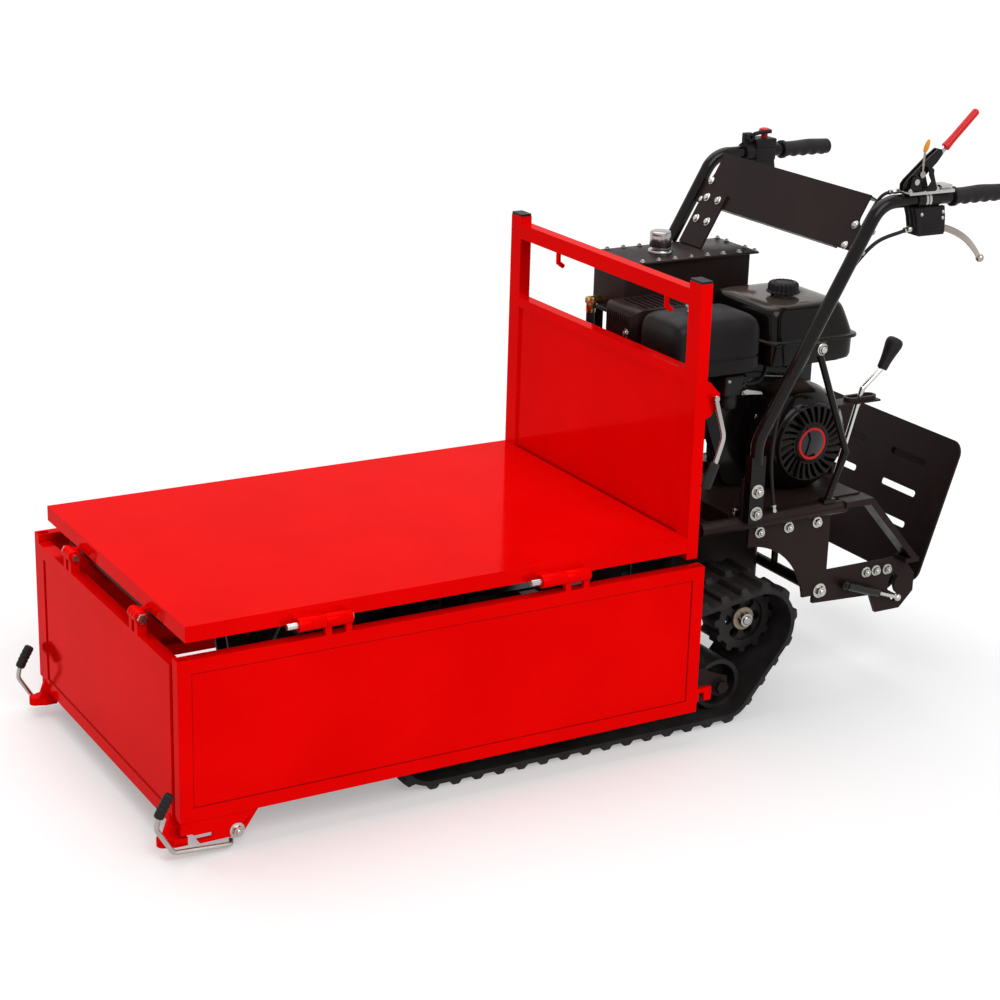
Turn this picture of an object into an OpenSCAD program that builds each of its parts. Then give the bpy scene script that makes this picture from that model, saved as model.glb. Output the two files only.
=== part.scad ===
// Tracked power carrier: a flat tipping bed with fold-down sides on rubber tracks,
// driven by a small petrol engine and walked from behind by two handlebars.
// X points forward, Y to the left, Z up from the ground.

/* [Bed] */
// Length of the deck
deck_len = 1030; // [900:10:1200]
// Width of the deck
deck_w = 700; // [680:10:760]
// Height of the deck surface above the ground
deck_z = 430; // [425:5:480]
// Depth of the folded rim round the deck
deck_rim = 30; // [24:1:36]
// Thickness of the deck and headboard sheet
sheet_t = 3; // [2:0.5:5]
// Square tube of the underframe
frame_tube = 40; // [34:1:44]
// Wall of all square tubes
tube_wall = 3; // [2:0.5:4]
// Height of the headboard posts above the deck
post_h = 497; // [450:1:560]
// Width of a headboard post across the bed
post_w = 40; // [34:1:46]
// Depth of a headboard post along the bed
post_d = 25; // [22:1:32]
// Height of the headboard's top bar
top_bar_h = 31; // [25:1:40]
// Height of the open window under the top bar
window_h = 126; // [100:2:150]

/* [Side panels] */
// Height of the hanging side panels
panel_h = 305; // [280:5:315]
// Thickness of the panel frames
panel_t = 25; // [22:1:26]
// Width of the frame border round each panel's sheet
panel_border = 26; // [20:1:36]
// How far the side panels reach ahead of the deck
panel_front_over = 22; // [18:1:24]
// How far the side panels reach behind the deck
panel_rear_over = 32; // [28:1:40]
// Radius of the hinge barrels
barrel_r = 12.7; // [12:0.1:15]
// Radius of the hinge pins
pin_r = 6.3; // [5:0.1:7]
// Radius of the latch rods
latch_rod_r = 4.5; // [3.5:0.1:5]

/* [Tracks] */
// Width of a track belt
track_w = 180; // [170:2:184]
// Distance between the centre lines of the two tracks
track_gauge = 464; // [456:2:470]
// Distance from rear roller to front idler
wheelbase = 668; // [600:4:720]
// Radius of the drive sprocket
sprocket_r = 73; // [68:1:76]
// Radius of the front idler
idler_r = 63; // [58:1:68]
// Radius of the rear roller
roller_r = 53; // [46:1:58]
// Thickness of the belt under the lugs
belt_t = 11; // [9:0.5:13]
// Height of the belt lugs
lug_h = 11; // [8:0.5:14]
// Spacing of the belt lugs
lug_pitch = 48; // [40:1:60]
// Height of the sprocket axis above the ground
sprocket_z = 197; // [190:1:205]

/* [Handle] */
// Distance between the two handlebars
handle_gap = 566; // [560:2:600]
// Height of the handlebar grips above the ground
handle_z = 1033; // [980:5:1100]
// Radius of the handlebar tube
handle_r = 13.5; // [12:0.5:15]
// Length of a rubber grip
grip_len = 132; // [110:2:150]
// Radius of a rubber grip
grip_r = 18; // [17:0.5:20]

/* [Engine] */
// Height of the crankshaft above the engine's base
crank_h = 106; // [104:1:112]
// Length of the fuel tank
fuel_len = 222; // [200:2:240]
// Height of the fuel tank
fuel_h = 124; // [110:2:140]
// Width of the air cleaner
air_w = 145; // [130:1:150]
// Radius of the recoil grille
grille_r = 80; // [72:1:86]
// Number of blades in the recoil grille
grille_blades = 20; // [14:1:26]

/* [Oil tank] */
// Length of the oil tank
oil_len = 314; // [280:2:330]
// Width of the oil tank
oil_w = 126; // [110:2:130]
// Height of the oil tank
oil_h = 110; // [90:2:130]

/* [Platform] */
// Width of the folding operator platform
platform_w = 490; // [440:10:500]
// Height of the folded platform plate
platform_h = 316; // [280:4:340]
// Thickness of the platform plate
platform_t = 5; // [4:0.5:7]

/* [Hidden] */
$fn = 48;

// Colours of the object
red = [0.85, 0.02, 0.02];
black = [0.10, 0.09, 0.09];
dark = [0.16, 0.15, 0.15];
rubber = [0.13, 0.13, 0.13];
chrome = [0.80, 0.79, 0.76];
brass = [0.72, 0.55, 0.25];
orange = [0.95, 0.55, 0.10];

// Clearances: running fit on a pin, gap between bodies, seat between pieces that pass
run_fit = 0.05;
gap = 0.3;
pass = 2;

// Reaches ahead of and behind the deck, which centre the object on its origin
foot_reach = 80;
grip_reach = 770;
x_rear = (grip_reach - foot_reach - deck_len) / 2;
x_front = x_rear + deck_len;
function fx(d) = x_front - d;
function rx(d) = x_rear - d;

// Levels of the bed and the chassis
sheet_z = deck_z - sheet_t;
under_z = sheet_z - frame_tube;
rail_top = under_z - pass;
rail_h = 60;
rail_bottom = rail_top - rail_h;
rail_y = 100;
rail_w = 40;
cross_tube = 30;
plate_t = 6;
engine_z = rail_top + cross_tube + plate_t;

// Side hinges
hinge_y = deck_w / 2 + barrel_r + gap;
hinge_z = deck_z - deck_rim + 2;
hinge_x = [230, 722];
hinge_half = 52;
hinge_tip = 21;
knuckle_leg_t = 12;
panel_out = hinge_y + 5;
panel_in = panel_out - panel_t;
panel_top = hinge_z - barrel_r - 14.3;
panel_bottom = panel_top - panel_h;
latch_plate_t = 8;
latch_plate_y = panel_out - 4 - latch_plate_t;

// Front hinge
front_hinge_x = x_front + 16;
front_hinge_z = deck_z - deck_rim - 9;
front_hinge_y = 170;
front_ear_r = 12;
front_panel_out = x_front + panel_t;
front_panel_top = front_hinge_z - front_ear_r - 18;
front_panel_bottom = front_panel_top - panel_h;
front_half = panel_in - 5;

// Corner latch, on the side panel's lower front plate
corner_bolt_x = fx(86);
corner_bolt_z = panel_bottom - 35;
corner_bolt_r = 5;
latch_sleeve_r = latch_rod_r + 3.5;
corner_rod_z = panel_bottom - 57.5;
corner_rod_y = panel_out + 1;

// Catch foot at each lower corner of the front panel
foot_w = 38;
foot_t = 15;
foot_z = front_panel_bottom - 33;
foot_y = front_half + 1;
foot_tip_r = 13;
foot_tip_x = fx(-foot_reach) - 38;

// Headboard latch
bed_latch_x = rx(45);
bed_latch_z = 2 * hinge_z - panel_bottom - 30;
bed_latch_pin_r = 4;
bed_latch_y = deck_w / 2 + 2;

// Tip pivot and ram
tip_x = fx(100);
tip_z = under_z - 17;
tip_pin_r = 10;
tip_boss_r = 14;
tip_lug_t = 10;
ram_base_x = fx(250);
ram_base_z = tip_z - 235;
ram_head_x = fx(370.5);
ram_head_z = tip_z;
ram_pin_r = 8;
ram_len = norm([ram_head_x - ram_base_x, ram_head_z - ram_base_z]);
ram_angle = atan2(ram_base_x - ram_head_x, ram_head_z - ram_base_z);
ram_barrel_r = 25;
ram_rod_r = 14;
ram_beam_x = ram_base_x + 12;
ram_ear_y = 28;
ram_ear_t = 10;
ram_head_free = 7.2;

// Track circles: rear roller, front idler and drive sprocket, as x, z, radius
track_y = track_gauge / 2;
roller_x = rx(141);
roller_z = roller_r + belt_t + lug_h;
idler_x = roller_x + wheelbase;
idler_z = idler_r + belt_t + lug_h;
sprocket_x = rx(213);
track_wheels = [
  [roller_x, roller_z, roller_r],
  [idler_x, idler_z, idler_r],
  [sprocket_x, sprocket_z, sprocket_r]
];
wheel_w = 100;
axle_r = 10;
fork_t = 8;
fork_y = wheel_w / 2 + gap;
beam_h = 46;
beam_w = 44;
beam_z = idler_z + 30;
beam_front_x = idler_x - idler_r - 24;
beam_rear_x = roller_x + roller_r + 40;
mid_r = 30;
mid_x = (beam_front_x + beam_rear_x) / 2;
mid_z = belt_t + lug_h + mid_r + gap;
leg_x = [beam_rear_x + 70, beam_front_x - 70];

// Rear chassis
side_tube_r = 14;
side_y = deck_w / 2 - 90;
side_z = rail_top + 19;
side_tube_front = 92;
side_tube_rear = 450;
side_plate_y = side_y - 10;
rail_rear = 450;
cross_x = [170, 470];
cross_end = side_y - side_tube_r + gap;
rear_bar_x = rx(405);
rear_bar_z = sprocket_z + 27;
rear_bar_r = 12;

// Gearbox and belt drive
gear_half = rail_y - rail_w / 2 - 2;
gear_rear = 385;
gear_front = 150;
shaft_r = 14;
input_x = rx(360);
input_z = rail_bottom - 20;
input_r = 12;
pulley_y = -rail_y - rail_w / 2 - 17;
pulley_w = 26;
big_pulley_r = 48;
small_pulley_r = 32;
groove_w = 18;
groove_d = 11;
vbelt_w = 16;
vbelt_t = 9;

// Engine
crank_x = rx(400);
crank_z = engine_z + crank_h;
crank_r = 12.5;
case_near = 95;
case_far = -55;
cover_face = 205;
fuel_x = crank_x - fuel_len / 2 + 114;
fuel_near = 190;
fuel_far = -60;
fuel_z = engine_z + 265;
air_front = 74;
air_rear = 282;
air_near = 175;
air_z = engine_z + 262;
air_h = 122;
muffler_z = engine_z + 268;

// Oil tank
oil_front = 136;
oil_near = -112;
oil_far = oil_near - oil_w;
oil_z = engine_z + 322;
oil_lid_z = oil_z + oil_h;
lid_t = 5;
lid_over = 12;

// Handlebars
handle_y = handle_gap / 2;
foot_x = rx(202);
knee_z = rail_top + 195;
bar_straight = 308;
bend_x = bar(bar_straight);
function bar(d) = rx(grip_reach - d);
bend_r = 60;
foot_len_x = 34;
foot_inner = handle_y - 11;
slope = atan2(handle_z - knee_z, foot_x - bend_x);

// Controls on the handlebars
clutch_x = bar(235);
clutch_z = handle_z + 38;
steer_x = bar(145);
steer_z = handle_z - 63;
throttle_x = bar(223);
throttle_z = handle_z + 34;
throttle_pin_r = 4;
stop_x = bar(178);
stop_r = 8;
lever_t = 10;

// Gear lever
shift_x = rx(537);
shift_z = rail_bottom + 29;
shift_bend_x = shift_x - 68;
shift_bend_z = shift_z + 238;
shift_tip_x = shift_bend_x - 49;
shift_tip_z = shift_bend_z + 40;
knob_lean = 28;
shift_pin_r = 6;

// Operator platform and its strut
hinge_line_x = rx(638);
hinge_line_z = sprocket_z + 3;
platform_lean = 18.3;
platform_off = 33;
arm_y = platform_w / 2 - 55;
bracket_y = side_plate_y - 8;
strut_x = rx(466);
strut_z = hinge_line_z + 28;
strut_head_x = rx(610);
strut_head_z = hinge_line_z - 23;
strut_y = side_plate_y + 13;
ear_y = arm_y + 14;
stud_r = 5;

// Helper shapes
module block(x0, x1, y0, y1, z0, z1) {
  translate([min(x0, x1), min(y0, y1), z0])
    cube([abs(x1 - x0), abs(y1 - y0), z1 - z0]);
}

module box_tube(x0, x1, y0, y1, z0, z1, axis) {
  w = tube_wall;
  difference() {
    block(x0, x1, y0, y1, z0, z1);
    if (axis == "x") block(min(x0, x1) - 1, max(x0, x1) + 1, min(y0, y1) + w, max(y0, y1) - w, z0 + w, z1 - w);
    if (axis == "y") block(min(x0, x1) + w, max(x0, x1) - w, min(y0, y1) - 1, max(y0, y1) + 1, z0 + w, z1 - w);
    if (axis == "z") block(min(x0, x1) + w, max(x0, x1) - w, min(y0, y1) + w, max(y0, y1) - w, z0 - 1, z1 + 1);
  }
}

module pin_y(x, z, y0, y1, r) {
  translate([x, min(y0, y1), z])
    rotate([-90, 0, 0])
      cylinder(h = abs(y1 - y0), r = r);
}

module pin_x(y, z, x0, x1, r) {
  translate([min(x0, x1), y, z])
    rotate([0, 90, 0])
      cylinder(h = abs(x1 - x0), r = r);
}

module hex_y(x, z, y0, y1, r) {
  translate([x, min(y0, y1), z])
    rotate([-90, 0, 0])
      cylinder(h = abs(y1 - y0), r = r, $fn = 6);
}

module rod(a, b, r) {
  v = b - a;
  translate(a)
    rotate([0, acos(v[2] / norm(v)), atan2(v[1], v[0])])
      cylinder(h = norm(v), r = r);
}

// Rods end to end, with a ball a little proud of them at each knee
knee_proud = 0.3;
module rod_path(pts, r) {
  for (i = [0:len(pts) - 2]) rod(pts[i], pts[i + 1], r);
  for (i = [1:len(pts) - 2]) translate(pts[i]) sphere(r = r + knee_proud);
}

module round_rect(w, h, r) {
  square([w - 2 * r, h], center = true);
  square([w, h - 2 * r], center = true);
  for (sx = [-1, 1], sy = [-1, 1])
    translate([sx * (w / 2 - r), sy * (h / 2 - r)]) circle(r = r);
}

// A box with its corners rounded in plan and, more gently, in side view
module soft_box(x0, x1, y0, y1, z0, z1, r, rt) {
  translate([(x0 + x1) / 2, (y0 + y1) / 2, (z0 + z1) / 2])
    intersection() {
      linear_extrude(height = z1 - z0, center = true)
        round_rect(abs(x1 - x0), abs(y1 - y0), r);
      rotate([90, 0, 0])
        linear_extrude(height = abs(y1 - y0), center = true)
          round_rect(abs(x1 - x0), z1 - z0, rt);
    }
}

// A plate cut from an outline in the XZ plane, between two Y values
module plate_y(outline, y0, y1) {
  translate([0, max(y0, y1), 0])
    rotate([90, 0, 0])
      linear_extrude(height = abs(y1 - y0)) polygon(outline);
}

module both_sides() {
  children();
  mirror([0, 1, 0]) children();
}

function unit(v) = v / norm(v);
function cross2(a, b) = a[0] * b[1] - a[1] * b[0];
function turn_at(p, i) = let (a = unit(p[i] - p[i - 1]), b = unit(p[i + 1] - p[i]))
  atan2(cross2(a, b), a * b);

// A tube along a path in the XZ plane, with round bends of one radius at its corners
bend_overlap = 3;
module bent_tube(pts, r, bend) {
  last = len(pts) - 1;
  cut = [for (i = [0:last]) (i == 0 || i == last) ? 0 : bend * tan(abs(turn_at(pts, i)) / 2)];
  rotate([90, 0, 0]) {
    for (i = [0:last - 1]) {
      d = unit(pts[i + 1] - pts[i]);
      a = pts[i] + d * (cut[i] - (i == 0 ? 0 : bend_overlap));
      b = pts[i + 1] - d * (cut[i + 1] - (i == last - 1 ? 0 : bend_overlap));
      rod([a[0], a[1], 0], [b[0], b[1], 0], r);
    }
    for (i = [1:last - 1]) {
      t = turn_at(pts, i);
      d = unit(pts[i] - pts[i - 1]);
      side = sign(t);
      c = pts[i] - d * cut[i] + side * bend * [-d[1], d[0]];
      start = atan2(d[1], d[0]) - side * 90;
      translate([c[0], c[1], 0])
        rotate([0, 0, min(start, start + t)])
          rotate_extrude(angle = abs(t))
            translate([bend, 0]) circle(r = r + knee_proud);
    }
  }
}

// A tube swept along a smooth curve through points: rings joined into one polyhedron
function spline(p, n) = [
  for (i = [0:len(p) - 2], k = [0:n - 1])
    let (
      t = k / n,
      a = p[max(i - 1, 0)], b = p[i], c = p[i + 1], d = p[min(i + 2, len(p) - 1)]
    )
    0.5 * (2 * b + (c - a) * t + (2 * a - 5 * b + 4 * c - d) * t * t + (3 * b - a - 3 * c + d) * t * t * t),
  p[len(p) - 1]
];

module swept_tube(points, r, steps, sides) {
  c = spline(points, steps);
  n = len(c);
  tangent = [for (i = [0:n - 1]) unit(c[min(i + 1, n - 1)] - c[max(i - 1, 0)])];
  rings = [
    for (i = [0:n - 1])
      let (
        t = tangent[i],
        u = unit(cross(t, [0, 1, 0.02])),
        v = cross(t, u)
      )
      for (k = [0:sides - 1]) c[i] + r * (cos(360 * k / sides) * u + sin(360 * k / sides) * v)
  ];
  walls = [
    for (i = [0:n - 2], k = [0:sides - 1])
      let (a = i * sides + k, b = i * sides + (k + 1) % sides)
      each [[a, b, a + sides], [b, b + sides, a + sides]]
  ];
  ends = [
    for (k = [1:sides - 2])
      each [[0, k + 1, k], [(n - 1) * sides, (n - 1) * sides + k, (n - 1) * sides + k + 1]]
  ];
  polyhedron(points = rings, faces = concat(walls, ends));
}

// Bed
module deck_sheet() {
  half = deck_w / 2;
  rim_z = deck_z - deck_rim;
  color(red) {
    difference() {
      block(x_rear, x_front, -half, half, rim_z, deck_z);
      block(x_rear + sheet_t, x_front - sheet_t, -half + sheet_t, half - sheet_t, rim_z - 1, sheet_z);
    }
    both_sides()
      for (h = hinge_x)
        difference() {
          union() {
            pin_x(hinge_y, hinge_z, fx(h - hinge_half / 2), fx(h + hinge_half / 2), barrel_r);
            block(fx(h - hinge_half / 2), fx(h + hinge_half / 2), half - sheet_t, hinge_y, hinge_z - 2, hinge_z + 9);
          }
          pin_x(hinge_y, hinge_z, fx(h - hinge_half), fx(h + hinge_half), pin_r);
        }
    both_sides()
      difference() {
        union() {
          pin_y(front_hinge_x, front_hinge_z, front_hinge_y - 6, front_hinge_y + 6, front_ear_r);
          block(x_front - sheet_t, front_hinge_x, front_hinge_y - 6, front_hinge_y + 6, rim_z, rim_z + 3);
          block(x_front, front_hinge_x, front_hinge_y - 6, front_hinge_y + 6, front_hinge_z - 6, rim_z);
        }
        pin_y(front_hinge_x, front_hinge_z, front_hinge_y - 7, front_hinge_y + 7, pin_r);
      }
  }
}

long_y = 220;
ram_tube = 425;
module deck_frame() {
  t = frame_tube;
  in = long_y - t / 2;
  color(black) {
    difference() {
      union() {
        both_sides()
          box_tube(fx(6), rx(-6), in, in + t, under_z, sheet_z, "x");
        for (c = [26, 100, ram_tube, 700, deck_len - 26])
          box_tube(fx(c - t / 2), fx(c + t / 2), -in, in, under_z, sheet_z, "y");
        both_sides()
          for (y0 = [rail_y - rail_w / 2 - pass - tip_lug_t, rail_y + rail_w / 2 + pass]) {
            pin_y(tip_x, tip_z, y0, y0 + tip_lug_t, tip_boss_r + 4);
            block(tip_x - t / 2, tip_x + t / 2, y0, y0 + tip_lug_t, tip_z, under_z);
          }
        both_sides() {
          pin_y(ram_head_x, ram_head_z, 14, 22, ram_pin_r + 8);
          block(fx(ram_tube + t / 2), ram_head_x + 16, 14, 22, ram_head_z, under_z);
        }
        pin_y(ram_head_x, ram_head_z, -22, 22, ram_pin_r);
      }
      both_sides()
        pin_y(tip_x, tip_z, 0.5 * rail_y, 2 * rail_y, tip_pin_r + run_fit);
    }
  }
}

hook_y = [-178, 219];
module headboard() {
  half = deck_w / 2;
  top = deck_z + post_h;
  bar_top = top - 15;
  window_low = bar_top - top_bar_h - window_h;
  rail_low = window_low - 20;
  x0 = x_rear - post_d;
  color(red) {
    both_sides() {
      box_tube(x0, x_rear, half - post_w, half, under_z, top, "z");
      difference() {
        plate_y([
          [x0, bed_latch_z + 31], [x0 - 11, bed_latch_z + 31], [x0 - 35, bed_latch_z + 6],
          [x0 - 35, bed_latch_z - 12], [x0 - 17, bed_latch_z - 36], [x0, bed_latch_z - 44]
        ], bed_latch_y - 15, bed_latch_y - 9);
        pin_y(bed_latch_x, bed_latch_z, half - 20, half, bed_latch_pin_r + run_fit);
      }
    }
    block(x0, x_rear, -half + post_w, half - post_w, bar_top - top_bar_h, bar_top);
    block(x0, x_rear, -half + post_w, half - post_w, rail_low, window_low);
    block(x_rear - 5 - sheet_t, x_rear - 5, -half + post_w, half - post_w, deck_z - deck_rim, rail_low);
    for (y = hook_y) {
      rod([x0 + post_d / 2, y, bar_top - top_bar_h + 2], [x0 + post_d / 2, y, bar_top - top_bar_h - 24], 5);
      rod([x0 + post_d / 2, y, bar_top - top_bar_h - 24], [x0 + post_d / 2 - 12, y, bar_top - top_bar_h - 33], 5);
      translate([x0 + post_d / 2, y, bar_top - top_bar_h - 24]) sphere(r = 5);
    }
  }
}

module post_caps() {
  half = deck_w / 2;
  top = deck_z + post_h;
  color(dark)
    both_sides()
      translate([x_rear - post_d / 2, half - post_w / 2, top])
        linear_extrude(height = 5) round_rect(post_d, post_w, 3);
}

module hinge_pins() {
  color(chrome) {
    both_sides()
      for (h = hinge_x)
        pin_x(hinge_y, hinge_z, fx(h - hinge_half / 2 - hinge_tip), fx(h + 1.5 * hinge_half + 3), pin_r);
    both_sides() {
      pin_y(front_hinge_x, front_hinge_z, front_hinge_y - 26, front_hinge_y + 24, pin_r);
      hex_y(front_hinge_x, front_hinge_z, front_hinge_y + 21, front_hinge_y + 28, 1.6 * pin_r);
    }
  }
}

// Panels
module framed_panel(x0, x1, z0, z1) {
  b = panel_border;
  difference() {
    block(x0, x1, panel_in, panel_out, z0, z1);
    block(x0 + b, x1 - b, panel_out - 2.5, panel_out + 1, z0 + b, z1 - b);
    block(x0 + b, x1 - b, panel_in - 1, panel_out - 5, z0 + b, z1 - b);
    for (x = [x0 + tube_wall, x1 - b + tube_wall])
      block(x, x + b - 2 * tube_wall, panel_in + tube_wall, panel_out - 2 * tube_wall, z1 - 40, z1 + 1);
  }
}

module side_panel() {
  x0 = rx(panel_rear_over);
  x1 = fx(-panel_front_over);
  plate_out = latch_plate_y + latch_plate_t;
  low = panel_bottom - 46;
  color(red) {
    framed_panel(x0, x1, panel_bottom, panel_top);
    for (h = hinge_x)
      difference() {
        union() {
          pin_x(hinge_y, hinge_z, fx(h + hinge_half / 2 + gap), fx(h + 1.5 * hinge_half), barrel_r);
          for (x = [h + hinge_half / 2 + gap, h + 1.5 * hinge_half - 12])
            block(fx(x), fx(x + 12), hinge_y - knuckle_leg_t / 2, hinge_y + knuckle_leg_t / 2 - 1,
              panel_top - 1, hinge_z);
        }
        pin_x(hinge_y, hinge_z, fx(h), fx(h + 2 * hinge_half), pin_r + run_fit);
      }
    difference() {
      plate_y([
        [x1 - 3, panel_bottom + 1], [x1 - 3, panel_bottom - 25], [fx(2), panel_bottom - 25], [fx(16), low],
        [fx(96), low], [fx(129), panel_bottom + 1]
      ], latch_plate_y, plate_out);
      pin_y(corner_bolt_x, corner_bolt_z, 0, 2 * plate_out, corner_bolt_r + run_fit);
      block(fx(-1), fx(40), latch_plate_y - 1, plate_out + 1, panel_bottom - 38, panel_bottom - 28);
    }
    difference() {
      block(x0 - 36, x0 + 1, latch_plate_y, plate_out, panel_bottom + 18, panel_bottom + 46);
      block(bed_latch_x - 6, bed_latch_x + 6, latch_plate_y - 1, plate_out + 1, panel_bottom + 17, panel_bottom + 36);
    }
  }
}

module side_panel_left() {
  side_panel();
}

module side_panel_right() {
  mirror([0, 1, 0]) side_panel();
}

module front_panel() {
  x0 = x_front;
  x1 = front_panel_out;
  b = panel_border;
  z0 = front_panel_bottom;
  z1 = front_panel_top;
  color(red) {
    difference() {
      block(x0, x1, -front_half, front_half, z0, z1);
      block(x1 - 2.5, x1 + 1, -front_half + b, front_half - b, z0 + b, z1 - b);
      block(x0 - 1, x1 - 5, -front_half + b, front_half - b, z0 + b, z1 - b);
    }
    both_sides() {
      for (y = [front_hinge_y - 20, front_hinge_y + 6 + gap])
        difference() {
          union() {
            pin_y(front_hinge_x, front_hinge_z, y, y + 14 - gap, front_ear_r);
            block(front_hinge_x - 9, front_panel_out, y, y + 14 - gap, z1 - 1, front_hinge_z);
          }
          pin_y(front_hinge_x, front_hinge_z, y - 1, y + 15, pin_r + run_fit);
        }
      translate([0, foot_y, foot_z])
        linear_extrude(height = foot_t) {
          polygon([
            [x0 + 4, -foot_w / 2], [x1 + 2, -foot_w / 2], [foot_tip_x, -foot_tip_r], [foot_tip_x, foot_tip_r],
            [x1 + 2, foot_w / 2], [x0 + 4, foot_w / 2]
          ]);
          translate([foot_tip_x, 0]) circle(r = foot_tip_r);
        }
      block(x0 + 4, x1 - 3, foot_y - foot_w / 2 + 3, front_half - 4, foot_z + foot_t - 1, z0 + 1);
      plate_y([
        [x1 - 4, z0 + 18], [x1 + 2, z0 + 18], [foot_tip_x - 2, foot_z + foot_t - 1], [x1 - 4, foot_z + foot_t - 1]
      ], foot_y - 15, front_half - 5);
    }
  }
}

// Latches
module corner_latch() {
  y_eye = latch_plate_y - latch_rod_r - gap;
  y_out = corner_rod_y;
  low = corner_rod_z;
  color(chrome) {
    pin_y(corner_bolt_x, corner_bolt_z, y_eye - 3.5, latch_plate_y - gap, 12);
    pin_y(corner_bolt_x, corner_bolt_z, y_eye, latch_plate_y + latch_plate_t + 4, corner_bolt_r);
    hex_y(corner_bolt_x, corner_bolt_z, latch_plate_y + latch_plate_t + gap, latch_plate_y + latch_plate_t + 8, 11);
    rod_path([
      [corner_bolt_x, y_eye, corner_bolt_z], [fx(79), y_eye, low], [fx(72), y_out, low], [fx(-36), y_out, low + 8],
      [fx(-67), y_out, low + 60], [fx(-63), y_out, low + 80], [fx(-60), y_out, low + 86]
    ], latch_rod_r);
  }
  color(dark)
    rod_path([[fx(-63), y_out, low + 80], [fx(-54), y_out, low + 98], [fx(-40), y_out, low + 122]], latch_sleeve_r);
}

module corner_latch_left() {
  corner_latch();
}

module corner_latch_right() {
  mirror([0, 1, 0]) corner_latch();
}

module bed_latch() {
  x = bed_latch_x;
  z = bed_latch_z;
  y = bed_latch_y;
  color(chrome) {
    pin_y(x, z, y - 18, y + 20, bed_latch_pin_r);
    pin_y(x, z, y - 5, y + 5, 7);
    rod_path([[x, y, z], [x - 24, y, z - 78], [x - 10, y, z - 122], [x + 10, y, z - 172]], latch_rod_r);
  }
  color(dark)
    rod([x - 6, y, z - 132], [x + 10, y, z - 172], latch_rod_r + 1.1);
}

module bed_latch_left() {
  bed_latch();
}

module bed_latch_right() {
  mirror([0, 1, 0]) bed_latch();
}

// Chassis
module chassis_frame() {
  in = rail_y - rail_w / 2;
  out = rail_y + rail_w / 2;
  leg_low = beam_z - 20;
  color(black) {
    both_sides() {
      box_tube(rx(rail_rear), tip_x - 30, in, out, rail_bottom, rail_top, "x");
      block(tip_x - 34, tip_x, in, out, tip_z - tip_boss_r, tip_z + tip_boss_r);
      pin_y(tip_x, tip_z, in, out, tip_boss_r);
      pin_y(tip_x, tip_z, in - pass - tip_lug_t - 3, out + pass + tip_lug_t + 3, tip_pin_r);
      for (x = leg_x) {
        block(x - 30, x + 30, rail_y - 5, rail_y + 5, leg_low, rail_bottom);
        box_tube(x - 20, x + 20, rail_y, track_y - beam_w / 2, leg_low, leg_low + 40, "y");
      }
      block(rx(-60), rx(-20), in, out, rail_top, under_z - gap);
      block(rx(gear_front + 20), rx(gear_front + 80), gear_half, in, rail_bottom + 8, rail_bottom + 48);
      plate_y([
        [ram_base_x - 20, ram_base_z], [ram_base_x + 20, ram_base_z], [ram_beam_x + 40, rail_bottom + 11],
        [ram_beam_x, rail_bottom + 11]
      ], ram_ear_y, ram_ear_y + ram_ear_t);
      pin_y(ram_base_x, ram_base_z, ram_ear_y, ram_ear_y + ram_ear_t, 20);
    }
    pin_y(ram_base_x, ram_base_z, -ram_ear_y - ram_ear_t, ram_ear_y + ram_ear_t, ram_pin_r);
    box_tube(ram_beam_x, ram_beam_x + 40, -in, in, rail_bottom + 10, rail_top - 10, "y");
    box_tube(rx(20), rx(-20), -in, in, rail_bottom, rail_top, "y");
    for (c = cross_x)
      box_tube(rx(c), rx(c + cross_tube), -cross_end, cross_end, rail_top, rail_top + cross_tube, "y");
    block(rx(cross_x[0]), rx(cross_x[1] + cross_tube), -115, side_y - 15, rail_top + cross_tube, engine_z);
    pin_y(rear_bar_x, rear_bar_z, -bracket_y, bracket_y, rear_bar_r);
    both_sides()
      block(rear_bar_x - 6, rear_bar_x + 6, rail_y - 4, rail_y + 4, rear_bar_z, rail_bottom);
    block(rx(rail_rear), shift_x - 14, rail_y + 10, rail_y + 18, shift_z - 14, shift_z + 14);
    pin_y(shift_x, shift_z, rail_y - 6, rail_y + 18, shift_pin_r);
    gear_gate();
  }
}

gate_z = shift_z + 212;
gate_slot = 66;
module gear_gate() {
  x0 = rx(530);
  x1 = shift_gate_x - gate_slot / 2 - 8;
  difference() {
    union() {
      block(x0, x1, rail_y - 20, rail_y + 20, gate_z, gate_z + 4);
      translate([shift_gate_x, rail_y, gate_z + 4])
        linear_extrude(height = 8) round_rect(gate_slot + 12, 30, 14);
    }
    translate([shift_gate_x, rail_y, gate_z - 1])
      linear_extrude(height = 20) round_rect(gate_slot, 18, 8);
  }
  block(x0, x0 + 6, rail_y - 20, rail_y + 20, rail_top + cross_tube, gate_z + 4);
  block(rx(cross_x[1]), x0 + 6, rail_y - 26, rail_y + 26, rail_top + cross_tube, rail_top + cross_tube + plate_t);
}
shift_gate_x = shift_x + (shift_bend_x - shift_x) * (gate_z + 8 - shift_z) / (shift_bend_z - shift_z);

// Curved window in the rear bracket, in which the platform's stud swings
module stud_window() {
  reach = norm([strut_head_x - hinge_line_x, strut_head_z - hinge_line_z]);
  intersection() {
    difference() {
      circle(r = reach + stud_r + 4);
      circle(r = reach - stud_r - 4);
    }
    polygon([[0, 0], [50, -75], [90, 0], [70, 66]]);
  }
}

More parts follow.
